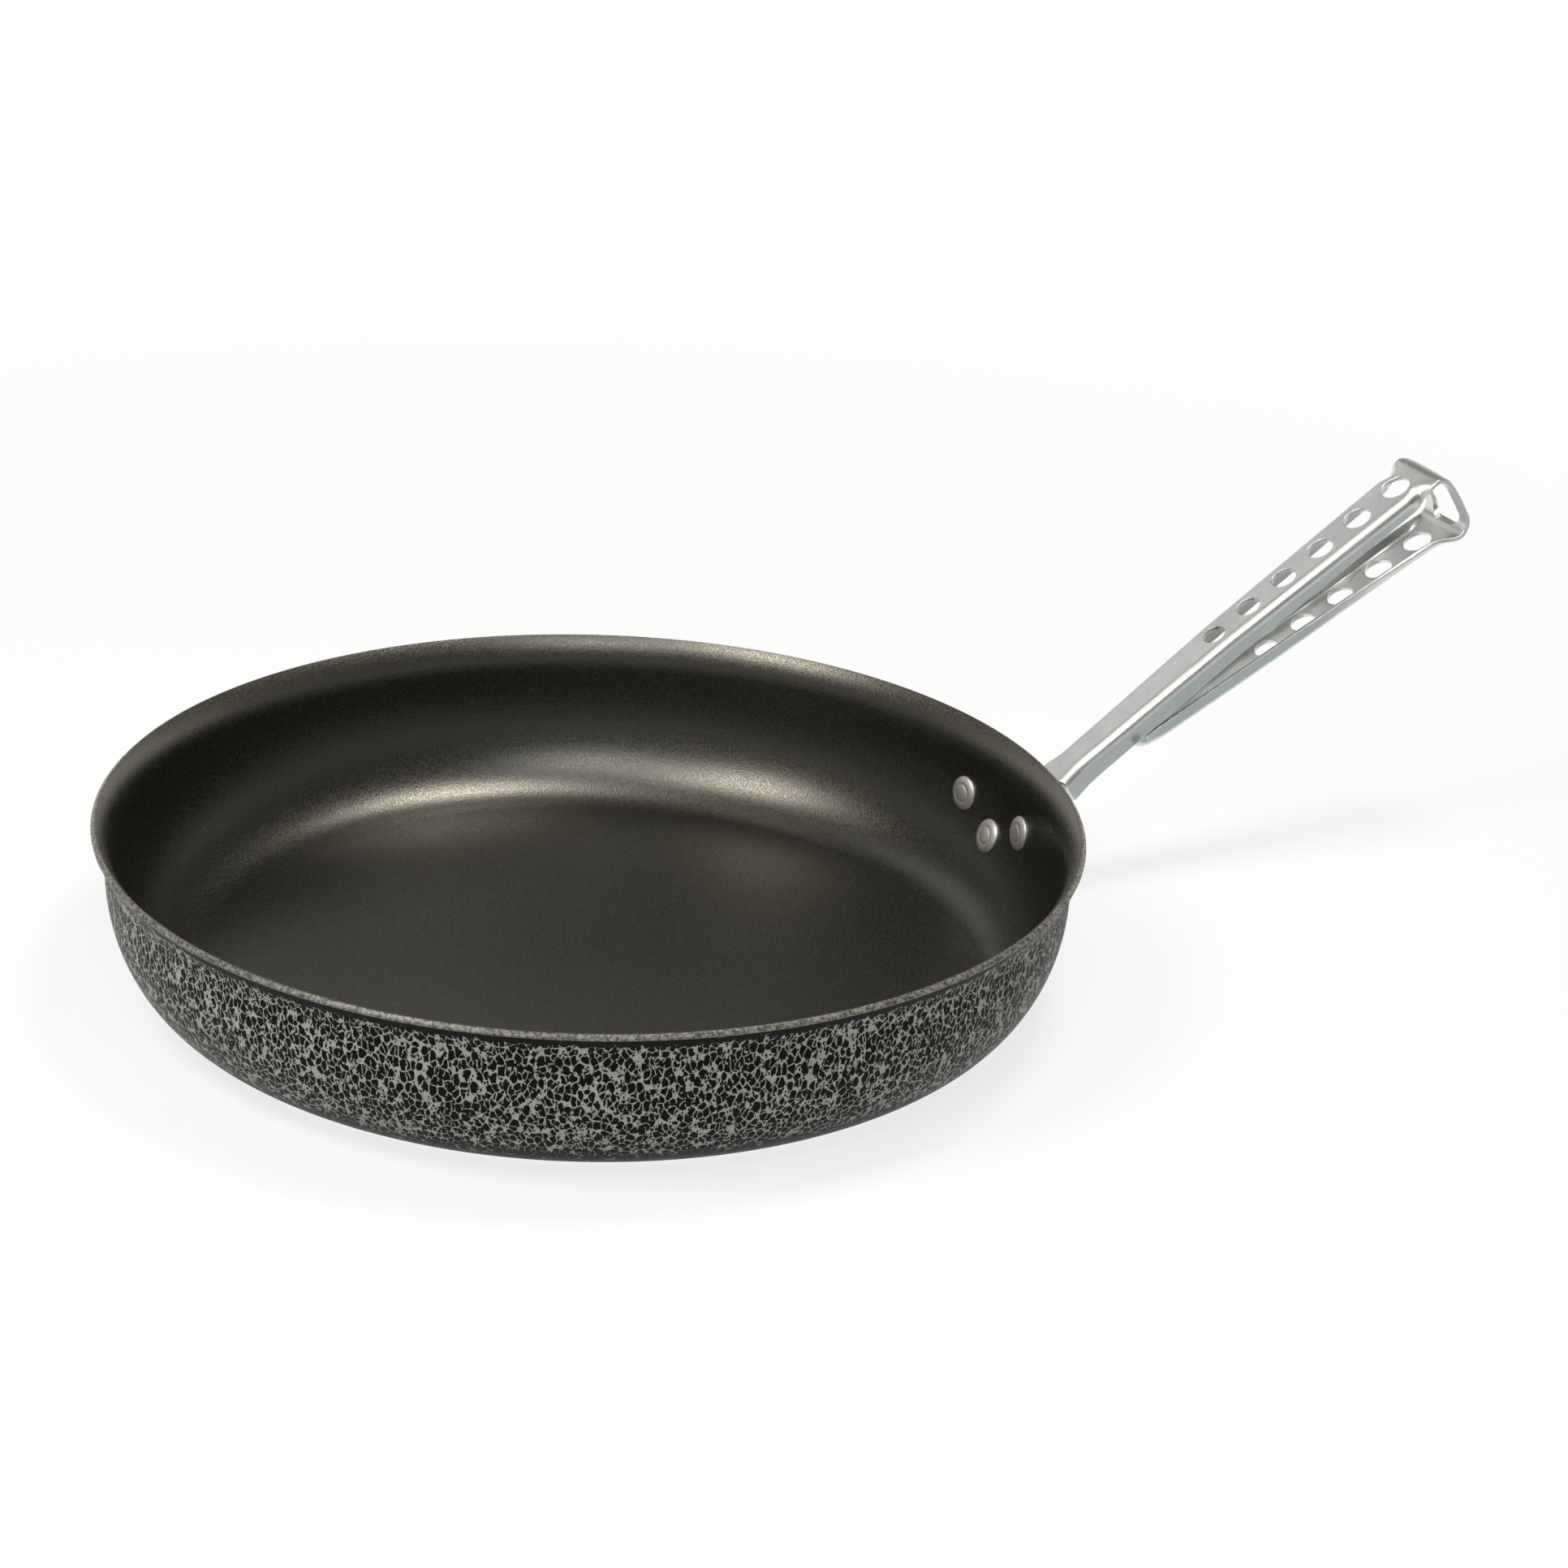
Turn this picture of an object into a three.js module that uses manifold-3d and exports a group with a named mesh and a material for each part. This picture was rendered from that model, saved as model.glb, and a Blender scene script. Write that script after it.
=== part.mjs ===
// Large non-stick frying pan: a pressed aluminium body with a flared lip, a non-stick lining inside,
// a hammered-look coat outside, and one folded steel strap as the handle, held by three rivets.
// Millimetres, +Z up. The origin is the centre of the flat base, and the handle leaves along +X.
import * as THREE from "three";
import { mergeVertices } from "three/addons/utils/BufferGeometryUtils.js";
import Module from "manifold-3d";

const wasm = await Module();
wasm.setup();

// Body: flat base, oval corner, short upright wall, and a lip that turns outwards
const BASE_RADIUS = 144;
const CORNER_REACH = 31;
const CORNER_RISE = 45;
const WALL_RISE = 4.2;
const LIP_BEND_RADIUS = 17;
const LIP_TURN = THREE.MathUtils.degToRad(45);
const BODY_SHEET = 2;
const LINING_SHEET = 0.2;
const COAT_SHEET = 0.2;
const SKIN_GAP = 0.05;
const COAT_LOW_EDGE = THREE.MathUtils.degToRad(12);
const COAT_HIGH_EDGE = THREE.MathUtils.degToRad(42);
const TURNED_SIDES = 48;
const CORNER_STEPS = 6;
const LIP_STEPS = 3;

// Rivets: two high ones side by side and one low one between them
const HIGH_RIVET_HEIGHT = 34.2;
const LOW_RIVET_HEIGHT = 24.4;
const HIGH_RIVET_SPACING = 42;
const RIVET_HEAD_RADIUS = 7;
const RIVET_HEAD_RISE = 2.6;
const RIVET_HEAD_EDGE = 0.5;
const RIVET_SHANK_RADIUS = 3.6;
const RIVET_TAIL_RADIUS = 5.2;
const RIVET_TAIL_RISE = 3;
const RIVET_SIDE_GAP = 0.3;
const RIVET_SEAT_GAP = 0.3;
const RIVET_SIDES = 16;
const RIVET_DOME_STEPS = 3;

// Strap: one steel strip, folded down along both edges and doubled back on itself
const STRIP = 1.8;
const TOP_FOLD_RADIUS = 4;
const PALM_GAP = 0.3;
const PALM_MARGIN = 9;
const ROOT_HEIGHT = 32.4;
const ROOT_BEND_RADIUS = 10;
const ROOT_HALF_WIDTH = 12;
const NECK_RISE = THREE.MathUtils.degToRad(33.8);
const GRIP_RISE = THREE.MathUtils.degToRad(32);
const NECK_LENGTH = 109;
const GRIP_LENGTH = 110.6;
const FLANGE_START = 26.3;
const NECK_HALF_WIDTH = 7.6;
const NECK_FLARE = 1.4;
const NECK_FLARE_RUN = 16;
const NECK_DEPTH = 11.5;
const GRIP_HALF_WIDTH = 12.2;
const GRIP_DEPTH = 6;
const TAB_HALF_WIDTH = 13.3;
const TAB_LENGTH = 5;
const TAB_FADE = 14;
const END_FOLD = 0.12;
const END_HEIGHT = 30.5;
const END_TOP_RADIUS = 6;
const END_LOW_RADIUS = 6.5;
const HANG_HOLE_WIDTH = 17.5;
const HANG_HOLE_TOP_LAND = 7;
const HANG_HOLE_LOW_LAND = 2.4;
const HANG_HOLE_CORNER = 4;

// Return leaf: the lower half of the strap, with upturned lips, tucked into the channel and spot welded
const RETURN_INSET = 0.6;
const RETURN_FOLD_RADIUS = 2.6;
const RETURN_LIP = 6.1;
const RETURN_END_LIP = 2.8;
const RETURN_LIP_RUN = 75;
const RETURN_FADE = 14;
const RETURN_CLEARANCE = 0.5;
const TONGUE_LIP = 5;
const TONGUE_FADE = 9;
const JOGGLE_START = 61.5;
const JOGGLE_LENGTH = 6;
const JOGGLE_RADIUS = 6;
const TONGUE_LENGTH = 13;
const TONGUE_SINK = 0.7;
const TONGUE_GAP = 0.3;
const WELD_RADIUS = 1.5;
const WELD_FROM_TIP = 9;
const WELD_BITE = 0.5;

// Cooling holes: a row through the top leaf, growing towards the end, and a shorter one below it
const HOLE_COUNT = 6;
const LOW_ROW_COUNT = 5;
const FIRST_HOLE_DIAMETER = 9;
const HOLE_GROWTH = 0.5;
const HOLE_LAND = 8.4;
const HOLE_END_LAND = 10.8;
const LOW_ROW_SHIFT = 2;
const HOLE_SIDES = 20;

// How finely folds, fades and bends of the strip are stepped, and how flat its unfolded stretch is
const FOLD_STEPS = 3;
const FADE_STEPS = 5;
const BEND_STEPS = 5;
const FLARE_STEPS = 4;
const FLARE_SHARE = 0.7;
const FLAT_FOLD = THREE.MathUtils.degToRad(0.5);
const EDGE_RETURN = 0.4;

const WALL = COAT_SHEET + BODY_SHEET + LINING_SHEET + 2 * SKIN_GAP;
const WALL_RADIUS = BASE_RADIUS + CORNER_REACH;
const LIP_START = CORNER_RISE + WALL_RISE;

// Solids from closed geometries, and back again
function solidOf(geometry) {
  const bare = geometry.clone();
  bare.deleteAttribute("normal");
  bare.deleteAttribute("uv");
  const merged = mergeVertices(bare, 1e-4);
  const source = merged.index.array;
  const kept = [];
  for (let i = 0; i < source.length; i += 3) {
    const [a, b, c] = [source[i], source[i + 1], source[i + 2]];
    if (a !== b && b !== c && c !== a) {
      kept.push(a, b, c);
    }
  }
  return new wasm.Manifold(
    new wasm.Mesh({
      numProp: 3,
      vertProperties: new Float32Array(merged.attributes.position.array),
      triVerts: new Uint32Array(kept),
    }),
  );
}

function geometryOf(solid) {
  const mesh = solid.getMesh();
  const geometry = new THREE.BufferGeometry();
  geometry.setAttribute("position", new THREE.BufferAttribute(mesh.vertProperties, 3));
  geometry.setIndex(new THREE.BufferAttribute(mesh.triVerts, 1));
  geometry.computeVertexNormals();
  return geometry;
}

function extruded(outline, depth) {
  return new THREE.ExtrudeGeometry(outline, { depth, bevelEnabled: false, curveSegments: BEND_STEPS });
}

// A closed profile of (radius, height) points turned about +Z, and its solid
function turning(points, sides = TURNED_SIDES) {
  return new THREE.LatheGeometry(points, sides).rotateX(Math.PI / 2);
}

function turned(points) {
  return solidOf(turning(points));
}

// A point of the pan's section, sunk by an inward depth from the outer face
function cornerPoint(angle, depth) {
  const radius = BASE_RADIUS + CORNER_REACH * Math.cos(angle);
  const height = CORNER_RISE * (1 - Math.sin(angle));
  return new THREE.Vector2(radius, height).addScaledVector(inwardAt(angle), depth);
}

// Straight into the wall from the outer face of the corner
function inwardAt(angle) {
  return new THREE.Vector2(-CORNER_RISE * Math.cos(angle), CORNER_REACH * Math.sin(angle)).normalize();
}

function lipPoint(angle, depth) {
  const radius = WALL_RADIUS + LIP_BEND_RADIUS * (1 - Math.cos(angle));
  const height = LIP_START + LIP_BEND_RADIUS * Math.sin(angle);
  return new THREE.Vector2(radius - depth * Math.cos(angle), height + depth * Math.sin(angle));
}

function steps(count, from, to, make) {
  return Array.from({ length: count + 1 }, (_, i) => make(from + ((to - from) * i) / count));
}

// The section's line at one depth, from near the base up to the lip
function wallLine(depth, lowEdge = 0, highEdge = LIP_TURN) {
  const corner = steps(CORNER_STEPS, Math.PI / 2 - lowEdge, 0, (a) => cornerPoint(a, depth));
  const lip = steps(LIP_STEPS, 0, highEdge, (a) => lipPoint(a, depth));
  return [...corner, ...lip];
}

// The corner's angle at a height on the outer face
function cornerAngle(height) {
  return Math.asin(THREE.MathUtils.clamp(1 - height / CORNER_RISE, 0, 1));
}

function closed(points) {
  return [...points, points[0].clone()];
}

function bodySolid() {
  const rebate = COAT_SHEET + SKIN_GAP;
  const inside = WALL - LINING_SHEET - SKIN_GAP;
  return turned([
    new THREE.Vector2(0, 0),
    cornerPoint(Math.PI / 2, 0),
    cornerPoint(Math.PI / 2 - COAT_LOW_EDGE, 0),
    ...wallLine(rebate, COAT_LOW_EDGE, COAT_HIGH_EDGE),
    lipPoint(COAT_HIGH_EDGE, 0),
    lipPoint(LIP_TURN, 0),
    ...wallLine(inside).toReversed(),
    new THREE.Vector2(0, inside),
  ]);
}

function liningSolid() {
  const back = WALL - LINING_SHEET;
  return turned([
    new THREE.Vector2(0, back),
    ...wallLine(back),
    ...wallLine(WALL).toReversed(),
    new THREE.Vector2(0, WALL),
  ]);
}

function coatSolid() {
  const outside = wallLine(0, COAT_LOW_EDGE, COAT_HIGH_EDGE);
  const inside = wallLine(COAT_SHEET, COAT_LOW_EDGE, COAT_HIGH_EDGE);
  return turned(closed([...outside, ...inside.toReversed()]));
}

// Each rivet's own frame: origin on the wall's outer face, +Z straight out of the wall
function rivetFrames() {
  const places = [
    ["rivet_high_left", HIGH_RIVET_HEIGHT, HIGH_RIVET_SPACING / 2],
    ["rivet_high_right", HIGH_RIVET_HEIGHT, -HIGH_RIVET_SPACING / 2],
    ["rivet_low", LOW_RIVET_HEIGHT, 0],
  ];
  const up = new THREE.Vector3(0, 0, 1);
  return places.map(([name, height, side]) => {
    const angle = cornerAngle(height);
    const radius = cornerPoint(angle, 0).x;
    const turn = Math.asin(side / radius);
    const inward = inwardAt(angle);
    const outward = new THREE.Vector3(-inward.x, 0, -inward.y).applyAxisAngle(up, turn);
    const place = new THREE.Vector3(radius * Math.cos(turn), side, height);
    const upright = new THREE.Quaternion().setFromUnitVectors(up, outward);
    return { name, place, upright };
  });
}

// A rivet in its own frame: a domed head shaped to the lining, a shank, and a tail upset over the palm
function rivetSolid(frame) {
  const headSeat = -WALL - RIVET_SEAT_GAP;
  const tailSeat = PALM_GAP + STRIP + RIVET_SEAT_GAP;
  const dome = steps(RIVET_DOME_STEPS, 0, Math.PI / 2, (a) => {
    const height = headSeat - RIVET_HEAD_EDGE - (RIVET_HEAD_RISE - RIVET_HEAD_EDGE) * Math.cos(a);
    return new THREE.Vector2(RIVET_HEAD_RADIUS * Math.sin(a), height);
  });
  const tail = steps(RIVET_DOME_STEPS, Math.PI / 2, 0, (a) => {
    return new THREE.Vector2(RIVET_TAIL_RADIUS * Math.sin(a), tailSeat + RIVET_TAIL_RISE * Math.cos(a));
  });
  const middle = -WALL / 2;
  const head = turning(
    [...dome, new THREE.Vector2(RIVET_HEAD_RADIUS, middle), new THREE.Vector2(0, middle)],
    RIVET_SIDES,
  );
  const shank = turning(
    [
      new THREE.Vector2(0, headSeat - RIVET_HEAD_EDGE),
      new THREE.Vector2(RIVET_SHANK_RADIUS, headSeat - RIVET_HEAD_EDGE),
      new THREE.Vector2(RIVET_SHANK_RADIUS, tailSeat),
      ...tail,
    ],
    RIVET_SIDES,
  );
  const wall = turning(closed([...wallLine(0), ...wallLine(WALL + RIVET_SEAT_GAP).toReversed()]));
  wall.translate(...frame.place.clone().negate()).applyQuaternion(frame.upright.clone().invert());
  return solidOf(head).subtract(solidOf(wall)).add(solidOf(shank));
}

// The straight drill through wall and palm for one rivet
function rivetDrill(frame) {
  const radius = RIVET_SHANK_RADIUS + RIVET_SIDE_GAP;
  const length = 4 * (WALL + PALM_GAP + STRIP);
  const drill = new THREE.CylinderGeometry(radius, radius, length, RIVET_SIDES);
  drill.rotateX(Math.PI / 2).applyQuaternion(frame.upright).translate(...frame.place);
  return solidOf(drill);
}

// The palm: a plate of the strip's thickness that hugs the wall round the three rivets
function palmSolid() {
  const near = wallLine(-PALM_GAP, COAT_LOW_EDGE, COAT_HIGH_EDGE);
  const far = wallLine(-PALM_GAP - STRIP, COAT_LOW_EDGE, COAT_HIGH_EDGE);
  const shell = turned(closed([...far, ...near.toReversed()]));
  const shoulder = HIGH_RIVET_HEIGHT + PALM_MARGIN;
  const side = HIGH_RIVET_SPACING / 2;
  const lean = Math.atan2(HIGH_RIVET_HEIGHT - LOW_RIVET_HEIGHT, side);
  const square = Math.PI / 2;
  const outline = new THREE.Shape();
  outline.moveTo(ROOT_HALF_WIDTH, ROOT_HEIGHT);
  outline.lineTo(ROOT_HALF_WIDTH, shoulder);
  outline.absarc(side, HIGH_RIVET_HEIGHT, PALM_MARGIN, square, lean - square, true);
  outline.absarc(0, LOW_RIVET_HEIGHT, PALM_MARGIN, lean - square, -lean - square, true);
  outline.absarc(-side, HIGH_RIVET_HEIGHT, PALM_MARGIN, -lean - square, square - 2 * Math.PI, true);
  outline.lineTo(-ROOT_HALF_WIDTH, shoulder);
  outline.lineTo(-ROOT_HALF_WIDTH, ROOT_HEIGHT);
  const block = extruded(outline, WALL_RADIUS + LIP_BEND_RADIUS);
  block.rotateX(Math.PI / 2).rotateZ(Math.PI / 2);
  return solidOf(block).intersect(shell);
}

// The strap's side view: where its outer face runs, as straight stretches between corners
function along(angle) {
  return new THREE.Vector2(Math.cos(angle), Math.sin(angle));
}

const ROOT = cornerPoint(cornerAngle(ROOT_HEIGHT), -PALM_GAP);
const NECK_END = ROOT.clone().addScaledVector(along(NECK_RISE), NECK_LENGTH);
const END_TOP = NECK_END.clone().addScaledVector(along(GRIP_RISE), GRIP_LENGTH);
const END_LOW = END_TOP.clone().addScaledVector(along(GRIP_RISE - Math.PI / 2), END_HEIGHT);

// How far along the strap a top-leaf point lies, from the root to the end
const STRAP_REACH = NECK_LENGTH + GRIP_LENGTH;
const TAB_START = STRAP_REACH - TAB_LENGTH;

function shareAlong(reach) {
  return THREE.MathUtils.clamp((reach - FLANGE_START) / (STRAP_REACH - FLANGE_START), 0, 1);
}

function channelHalfWidth(reach) {
  const flared = 1 - THREE.MathUtils.smoothstep(reach, FLANGE_START, FLANGE_START + NECK_FLARE_RUN);
  return THREE.MathUtils.lerp(NECK_HALF_WIDTH, GRIP_HALF_WIDTH, shareAlong(reach)) + NECK_FLARE * flared;
}

function channelDepth(reach) {
  return THREE.MathUtils.lerp(NECK_DEPTH, GRIP_DEPTH, shareAlong(reach));
}

// Fold of the strip's edges where it is folded by a share: flat half width, bend and straight flange
function fold(halfWidth, depth, foldRadius, folded) {
  const angle = Math.max(FLAT_FOLD, (folded * Math.PI) / 2);
  const bend = (foldRadius * Math.PI) / 2 / angle;
  const flange = THREE.MathUtils.lerp(EDGE_RETURN, depth - foldRadius, folded);
  const narrowed = THREE.MathUtils.smoothstep(folded, 0, FLARE_SHARE);
  const width = THREE.MathUtils.lerp(TAB_HALF_WIDTH, halfWidth, narrowed);
  const flat = width - bend * Math.sin(angle) - flange * Math.cos(angle);
  return { flat, angle, bend, flange };
}

function topFold(reach) {
  const opened = THREE.MathUtils.smoothstep(reach, TAB_START - TAB_FADE, TAB_START);
  const folded = THREE.MathUtils.lerp(1, END_FOLD, opened);
  return fold(channelHalfWidth(reach), channelDepth(reach), TOP_FOLD_RADIUS, folded);
}

function returnFold(reach) {
  const folded = 1 - THREE.MathUtils.smoothstep(reach, TAB_START - RETURN_FADE, TAB_START);
  const tucked = 1 - THREE.MathUtils.smoothstep(reach, JOGGLE_START, JOGGLE_START + TONGUE_FADE);
  const inset = THREE.MathUtils.lerp(RETURN_INSET, STRIP + TONGUE_GAP, tucked);
  const shareIn = THREE.MathUtils.clamp((TAB_START - RETURN_FADE - reach) / RETURN_LIP_RUN, 0, 1);
  const leafLip = THREE.MathUtils.lerp(RETURN_END_LIP, RETURN_LIP, shareIn);
  const lip = THREE.MathUtils.lerp(leafLip, TONGUE_LIP, tucked);
  return fold(channelHalfWidth(reach) - inset, lip, RETURN_FOLD_RADIUS, folded);
}

// One cross-section of the folded strip as a closed ring of (side, depth) points
function sectionRing({ flat, angle, bend, flange }) {
  const side = (thickness) => {
    const arc = steps(FOLD_STEPS, 0, angle, (a) => {
      const x = flat + (bend - thickness) * Math.sin(a);
      return new THREE.Vector2(x, bend - (bend - thickness) * Math.cos(a));
    });
    const last = arc[arc.length - 1];
    const edge = new THREE.Vector2(last.x + flange * Math.cos(angle), last.y + flange * Math.sin(angle));
    return [...arc, edge];
  };
  const mirror = (points) => points.map((p) => new THREE.Vector2(-p.x, p.y));
  const outer = side(0);
  const inner = side(STRIP);
  return [...mirror(outer).toReversed(), ...outer, ...inner.toReversed(), ...mirror(inner)];
}

// A flat cross-section of the strip, used at the root where no edge is folded
function flatRing(halfWidth) {
  return [
    new THREE.Vector2(-halfWidth, 0),
    new THREE.Vector2(halfWidth, 0),
    new THREE.Vector2(halfWidth, STRIP),
    new THREE.Vector2(-halfWidth, STRIP),
  ];
}

// A point of the top leaf's outer face at a reach, sunk by a depth into the channel
function topPoint(reach, depth = 0) {
  const onNeck = reach < NECK_LENGTH;
  const rise = onNeck ? NECK_RISE : GRIP_RISE;
  const from = onNeck ? ROOT : NECK_END;
  const run = onNeck ? reach : reach - NECK_LENGTH;
  const point = from.clone().addScaledVector(along(rise), run);
  return point.addScaledVector(along(rise - Math.PI / 2), depth);
}

function reachOf(point) {
  const run = point.clone().sub(ROOT).dot(along(NECK_RISE));
  return run < NECK_LENGTH ? run : NECK_LENGTH + point.clone().sub(NECK_END).dot(along(GRIP_RISE));
}

const TONGUE_START = JOGGLE_START - JOGGLE_LENGTH;
const TONGUE_TIP = TONGUE_START - TONGUE_LENGTH;
const JOGGLE = topPoint(JOGGLE_START, channelDepth(JOGGLE_START) + RETURN_CLEARANCE + TONGUE_LIP);

// A point of the return leaf's outer face at a reach
function returnPoint(reach) {
  const share = (reach - JOGGLE_START) / (reachOf(END_LOW) - JOGGLE_START);
  return JOGGLE.clone().lerp(END_LOW, share);
}

function tonguePoint(reach) {
  return topPoint(reach, channelDepth(reach) - TONGUE_SINK);
}

// Corners of the flat stretch that leaves the palm, from the wall's own slope into the channel
function rootCorners() {
  const upWall = inwardAt(cornerAngle(ROOT_HEIGHT)).rotateAround(new THREE.Vector2(), -Math.PI / 2);
  const onTop = (reach) => ({ at: topPoint(reach) });
  return [
    { at: ROOT.clone().sub(upWall) },
    { at: ROOT, bend: ROOT_BEND_RADIUS },
    ...steps(FLARE_STEPS, FLANGE_START / FLARE_STEPS, FLANGE_START, onTop),
    onTop(FLANGE_START + STRIP),
  ];
}

// Corners of the folded stretch: out along the top leaf, round the end, and back into the channel
function channelCorners() {
  const onTop = (reach) => ({ at: topPoint(reach), section: topFold });
  const onReturn = (reach) => ({ at: returnPoint(reach), section: returnFold });
  const onTongue = (reach, bend) => ({ at: tonguePoint(reach), section: returnFold, bend });
  return [
    ...steps(FLARE_STEPS, FLANGE_START, FLANGE_START + NECK_FLARE_RUN, onTop),
    onTop(NECK_LENGTH),
    ...steps(FADE_STEPS, TAB_START - TAB_FADE, TAB_START, onTop),
    { at: END_TOP, section: topFold, bend: END_TOP_RADIUS },
    { at: END_LOW, section: returnFold, bend: END_LOW_RADIUS },
    ...steps(FADE_STEPS, TAB_START, TAB_START - RETURN_FADE, onReturn),
    onReturn(TAB_START - RETURN_FADE - RETURN_LIP_RUN),
    ...steps(FLARE_STEPS, JOGGLE_START + TONGUE_FADE, JOGGLE_START + TONGUE_FADE / FLARE_STEPS, onReturn),
    { at: JOGGLE, section: returnFold, bend: JOGGLE_RADIUS },
    onTongue(TONGUE_START, JOGGLE_RADIUS),
    onTongue(TONGUE_TIP),
  ];
}

// Points and headings along a line, with its corners rounded where they have a bend
function roundedPath(corners) {
  const origin = new THREE.Vector2();
  const headings = corners.slice(1).map((corner, i) => corner.at.clone().sub(corners[i].at).angle());
  return corners.flatMap(({ at, section, bend }, i) => {
    const before = headings[Math.max(i - 1, 0)];
    const after = headings[Math.min(i, headings.length - 1)];
    const turn = Math.atan2(Math.sin(after - before), Math.cos(after - before));
    if (!bend) {
      return [{ at, section, heading: before + turn / 2 }];
    }
    const start = at.clone().addScaledVector(along(before), -bend * Math.tan(Math.abs(turn) / 2));
    const toCentre = new THREE.Vector2(0, Math.sign(turn) * bend).rotateAround(origin, before);
    const centre = start.clone().add(toCentre);
    return steps(BEND_STEPS, 0, turn, (a) => {
      return { at: start.clone().rotateAround(centre, a), section, heading: before + a };
    });
  });
}

// A solid skinned over closed rings, one ring per stop
function skinned(stops, ringAt) {
  const positions = [];
  const rings = stops.map((stop) => ringAt(stop));
  const size = rings[0].length;
  stops.forEach((stop, i) => {
    const inside = new THREE.Vector2(Math.sin(stop.heading), -Math.cos(stop.heading));
    rings[i].forEach((p) => {
      positions.push(stop.at.x + inside.x * p.y, p.x, stop.at.y + inside.y * p.y);
    });
  });
  const index = [];
  for (let i = 0; i + 1 < stops.length; i += 1) {
    for (let k = 0; k < size; k += 1) {
      const next = (k + 1) % size;
      const [a, b] = [i * size + k, i * size + next];
      const [c, d] = [a + size, b + size];
      index.push(a, d, b, a, c, d);
    }
  }
  const capFaces = THREE.ShapeUtils.triangulateShape(rings[0], []);
  const lastFaces = THREE.ShapeUtils.triangulateShape(rings[rings.length - 1], []);
  const offset = (stops.length - 1) * size;
  capFaces.forEach(([a, b, c]) => index.push(a, b, c));
  lastFaces.forEach(([a, b, c]) => index.push(offset + a, offset + c, offset + b));
  const geometry = new THREE.BufferGeometry();
  geometry.setAttribute("position", new THREE.Float32BufferAttribute(positions, 3));
  geometry.setIndex(index);
  return solidOf(geometry);
}

function rootSolid() {
  const halfWidth = (reach) => {
    if (reach > FLANGE_START + STRIP / 2) {
      return channelHalfWidth(FLANGE_START) - TOP_FOLD_RADIUS;
    }
    const flare = THREE.MathUtils.smoothstep(reach, 0, FLANGE_START);
    return THREE.MathUtils.lerp(ROOT_HALF_WIDTH, channelHalfWidth(FLANGE_START), flare);
  };
  const stops = roundedPath(rootCorners()).slice(1);
  return skinned(stops, ({ at }) => flatRing(halfWidth(reachOf(at))));
}

function channelSolid() {
  const stops = roundedPath(channelCorners());
  return skinned(stops, ({ at, section }) => sectionRing(section(reachOf(at))));
}

// Round drills square to each leaf, for the rows of cooling holes
function holeDrills() {
  const drills = [];
  const returnRise = END_LOW.clone().sub(JOGGLE).angle();
  let edge = STRAP_REACH - HOLE_END_LAND;
  for (let k = HOLE_COUNT - 1; k >= 0; k -= 1) {
    const radius = (FIRST_HOLE_DIAMETER + k * HOLE_GROWTH) / 2;
    const reach = edge - radius;
    drills.push(leafDrill(radius, topPoint(reach), reach < NECK_LENGTH ? NECK_RISE : GRIP_RISE));
    if (k >= HOLE_COUNT - LOW_ROW_COUNT) {
      drills.push(leafDrill(radius, returnPoint(reach - LOW_ROW_SHIFT), returnRise));
    }
    edge = reach - radius - HOLE_LAND;
  }
  return drills;
}

function leafDrill(radius, at, rise) {
  const drill = new THREE.CylinderGeometry(radius, radius, 4 * STRIP, HOLE_SIDES);
  drill.rotateX(Math.PI / 2).rotateY(-rise).translate(at.x, 0, at.y);
  return solidOf(drill);
}

// The opening across the strap's end, for a peg or hook
function hangHoleBlock() {
  const half = HANG_HOLE_WIDTH / 2;
  const low = HANG_HOLE_LOW_LAND - END_HEIGHT;
  const round = HANG_HOLE_CORNER;
  const outline = new THREE.Shape();
  outline.absarc(half - round, -HANG_HOLE_TOP_LAND - round, round, 0, Math.PI / 2);
  outline.absarc(round - half, -HANG_HOLE_TOP_LAND - round, round, Math.PI / 2, Math.PI);
  outline.absarc(round - half, low + round, round, Math.PI, 1.5 * Math.PI);
  outline.absarc(half - round, low + round, round, 1.5 * Math.PI, 2 * Math.PI);
  outline.closePath();
  const block = extruded(outline, STRIP + END_LOW_RADIUS).translate(0, 0, -END_LOW_RADIUS);
  block.rotateX(Math.PI / 2).rotateZ(Math.PI / 2).rotateY(-GRIP_RISE);
  return solidOf(block.translate(END_TOP.x, 0, END_TOP.y));
}

// Spot welds that join the tongue's lips to the channel's sides
function weldNugget(side) {
  const reach = TONGUE_TIP + WELD_FROM_TIP;
  const at = topPoint(reach, channelDepth(reach) - TONGUE_SINK - TONGUE_LIP + WELD_RADIUS);
  const length = TONGUE_GAP + 2 * WELD_BITE;
  const nugget = new THREE.CylinderGeometry(WELD_RADIUS, WELD_RADIUS, length, HOLE_SIDES / 2);
  const middle = channelHalfWidth(reach) - STRIP - TONGUE_GAP / 2;
  return solidOf(nugget.translate(at.x, side * middle, at.y));
}

function strapSolid(drills) {
  const cuts = [...drills, ...holeDrills(), hangHoleBlock()];
  const joined = [rootSolid(), channelSolid(), weldNugget(1), weldNugget(-1)];
  const whole = joined.reduce((sum, piece) => sum.add(piece), palmSolid());
  return cuts.reduce((rest, cut) => rest.subtract(cut), whole);
}

function finish(colour, roughness, metalness) {
  return new THREE.MeshStandardMaterial({ color: colour, roughness, metalness });
}

function piece(name, solid, material) {
  const mesh = new THREE.Mesh(geometryOf(solid), material);
  mesh.name = name;
  return mesh;
}

const frames = rivetFrames();
const drills = frames.map(rivetDrill);
const drilled = (solid) => drills.reduce((rest, drill) => rest.subtract(drill), solid);

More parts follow.
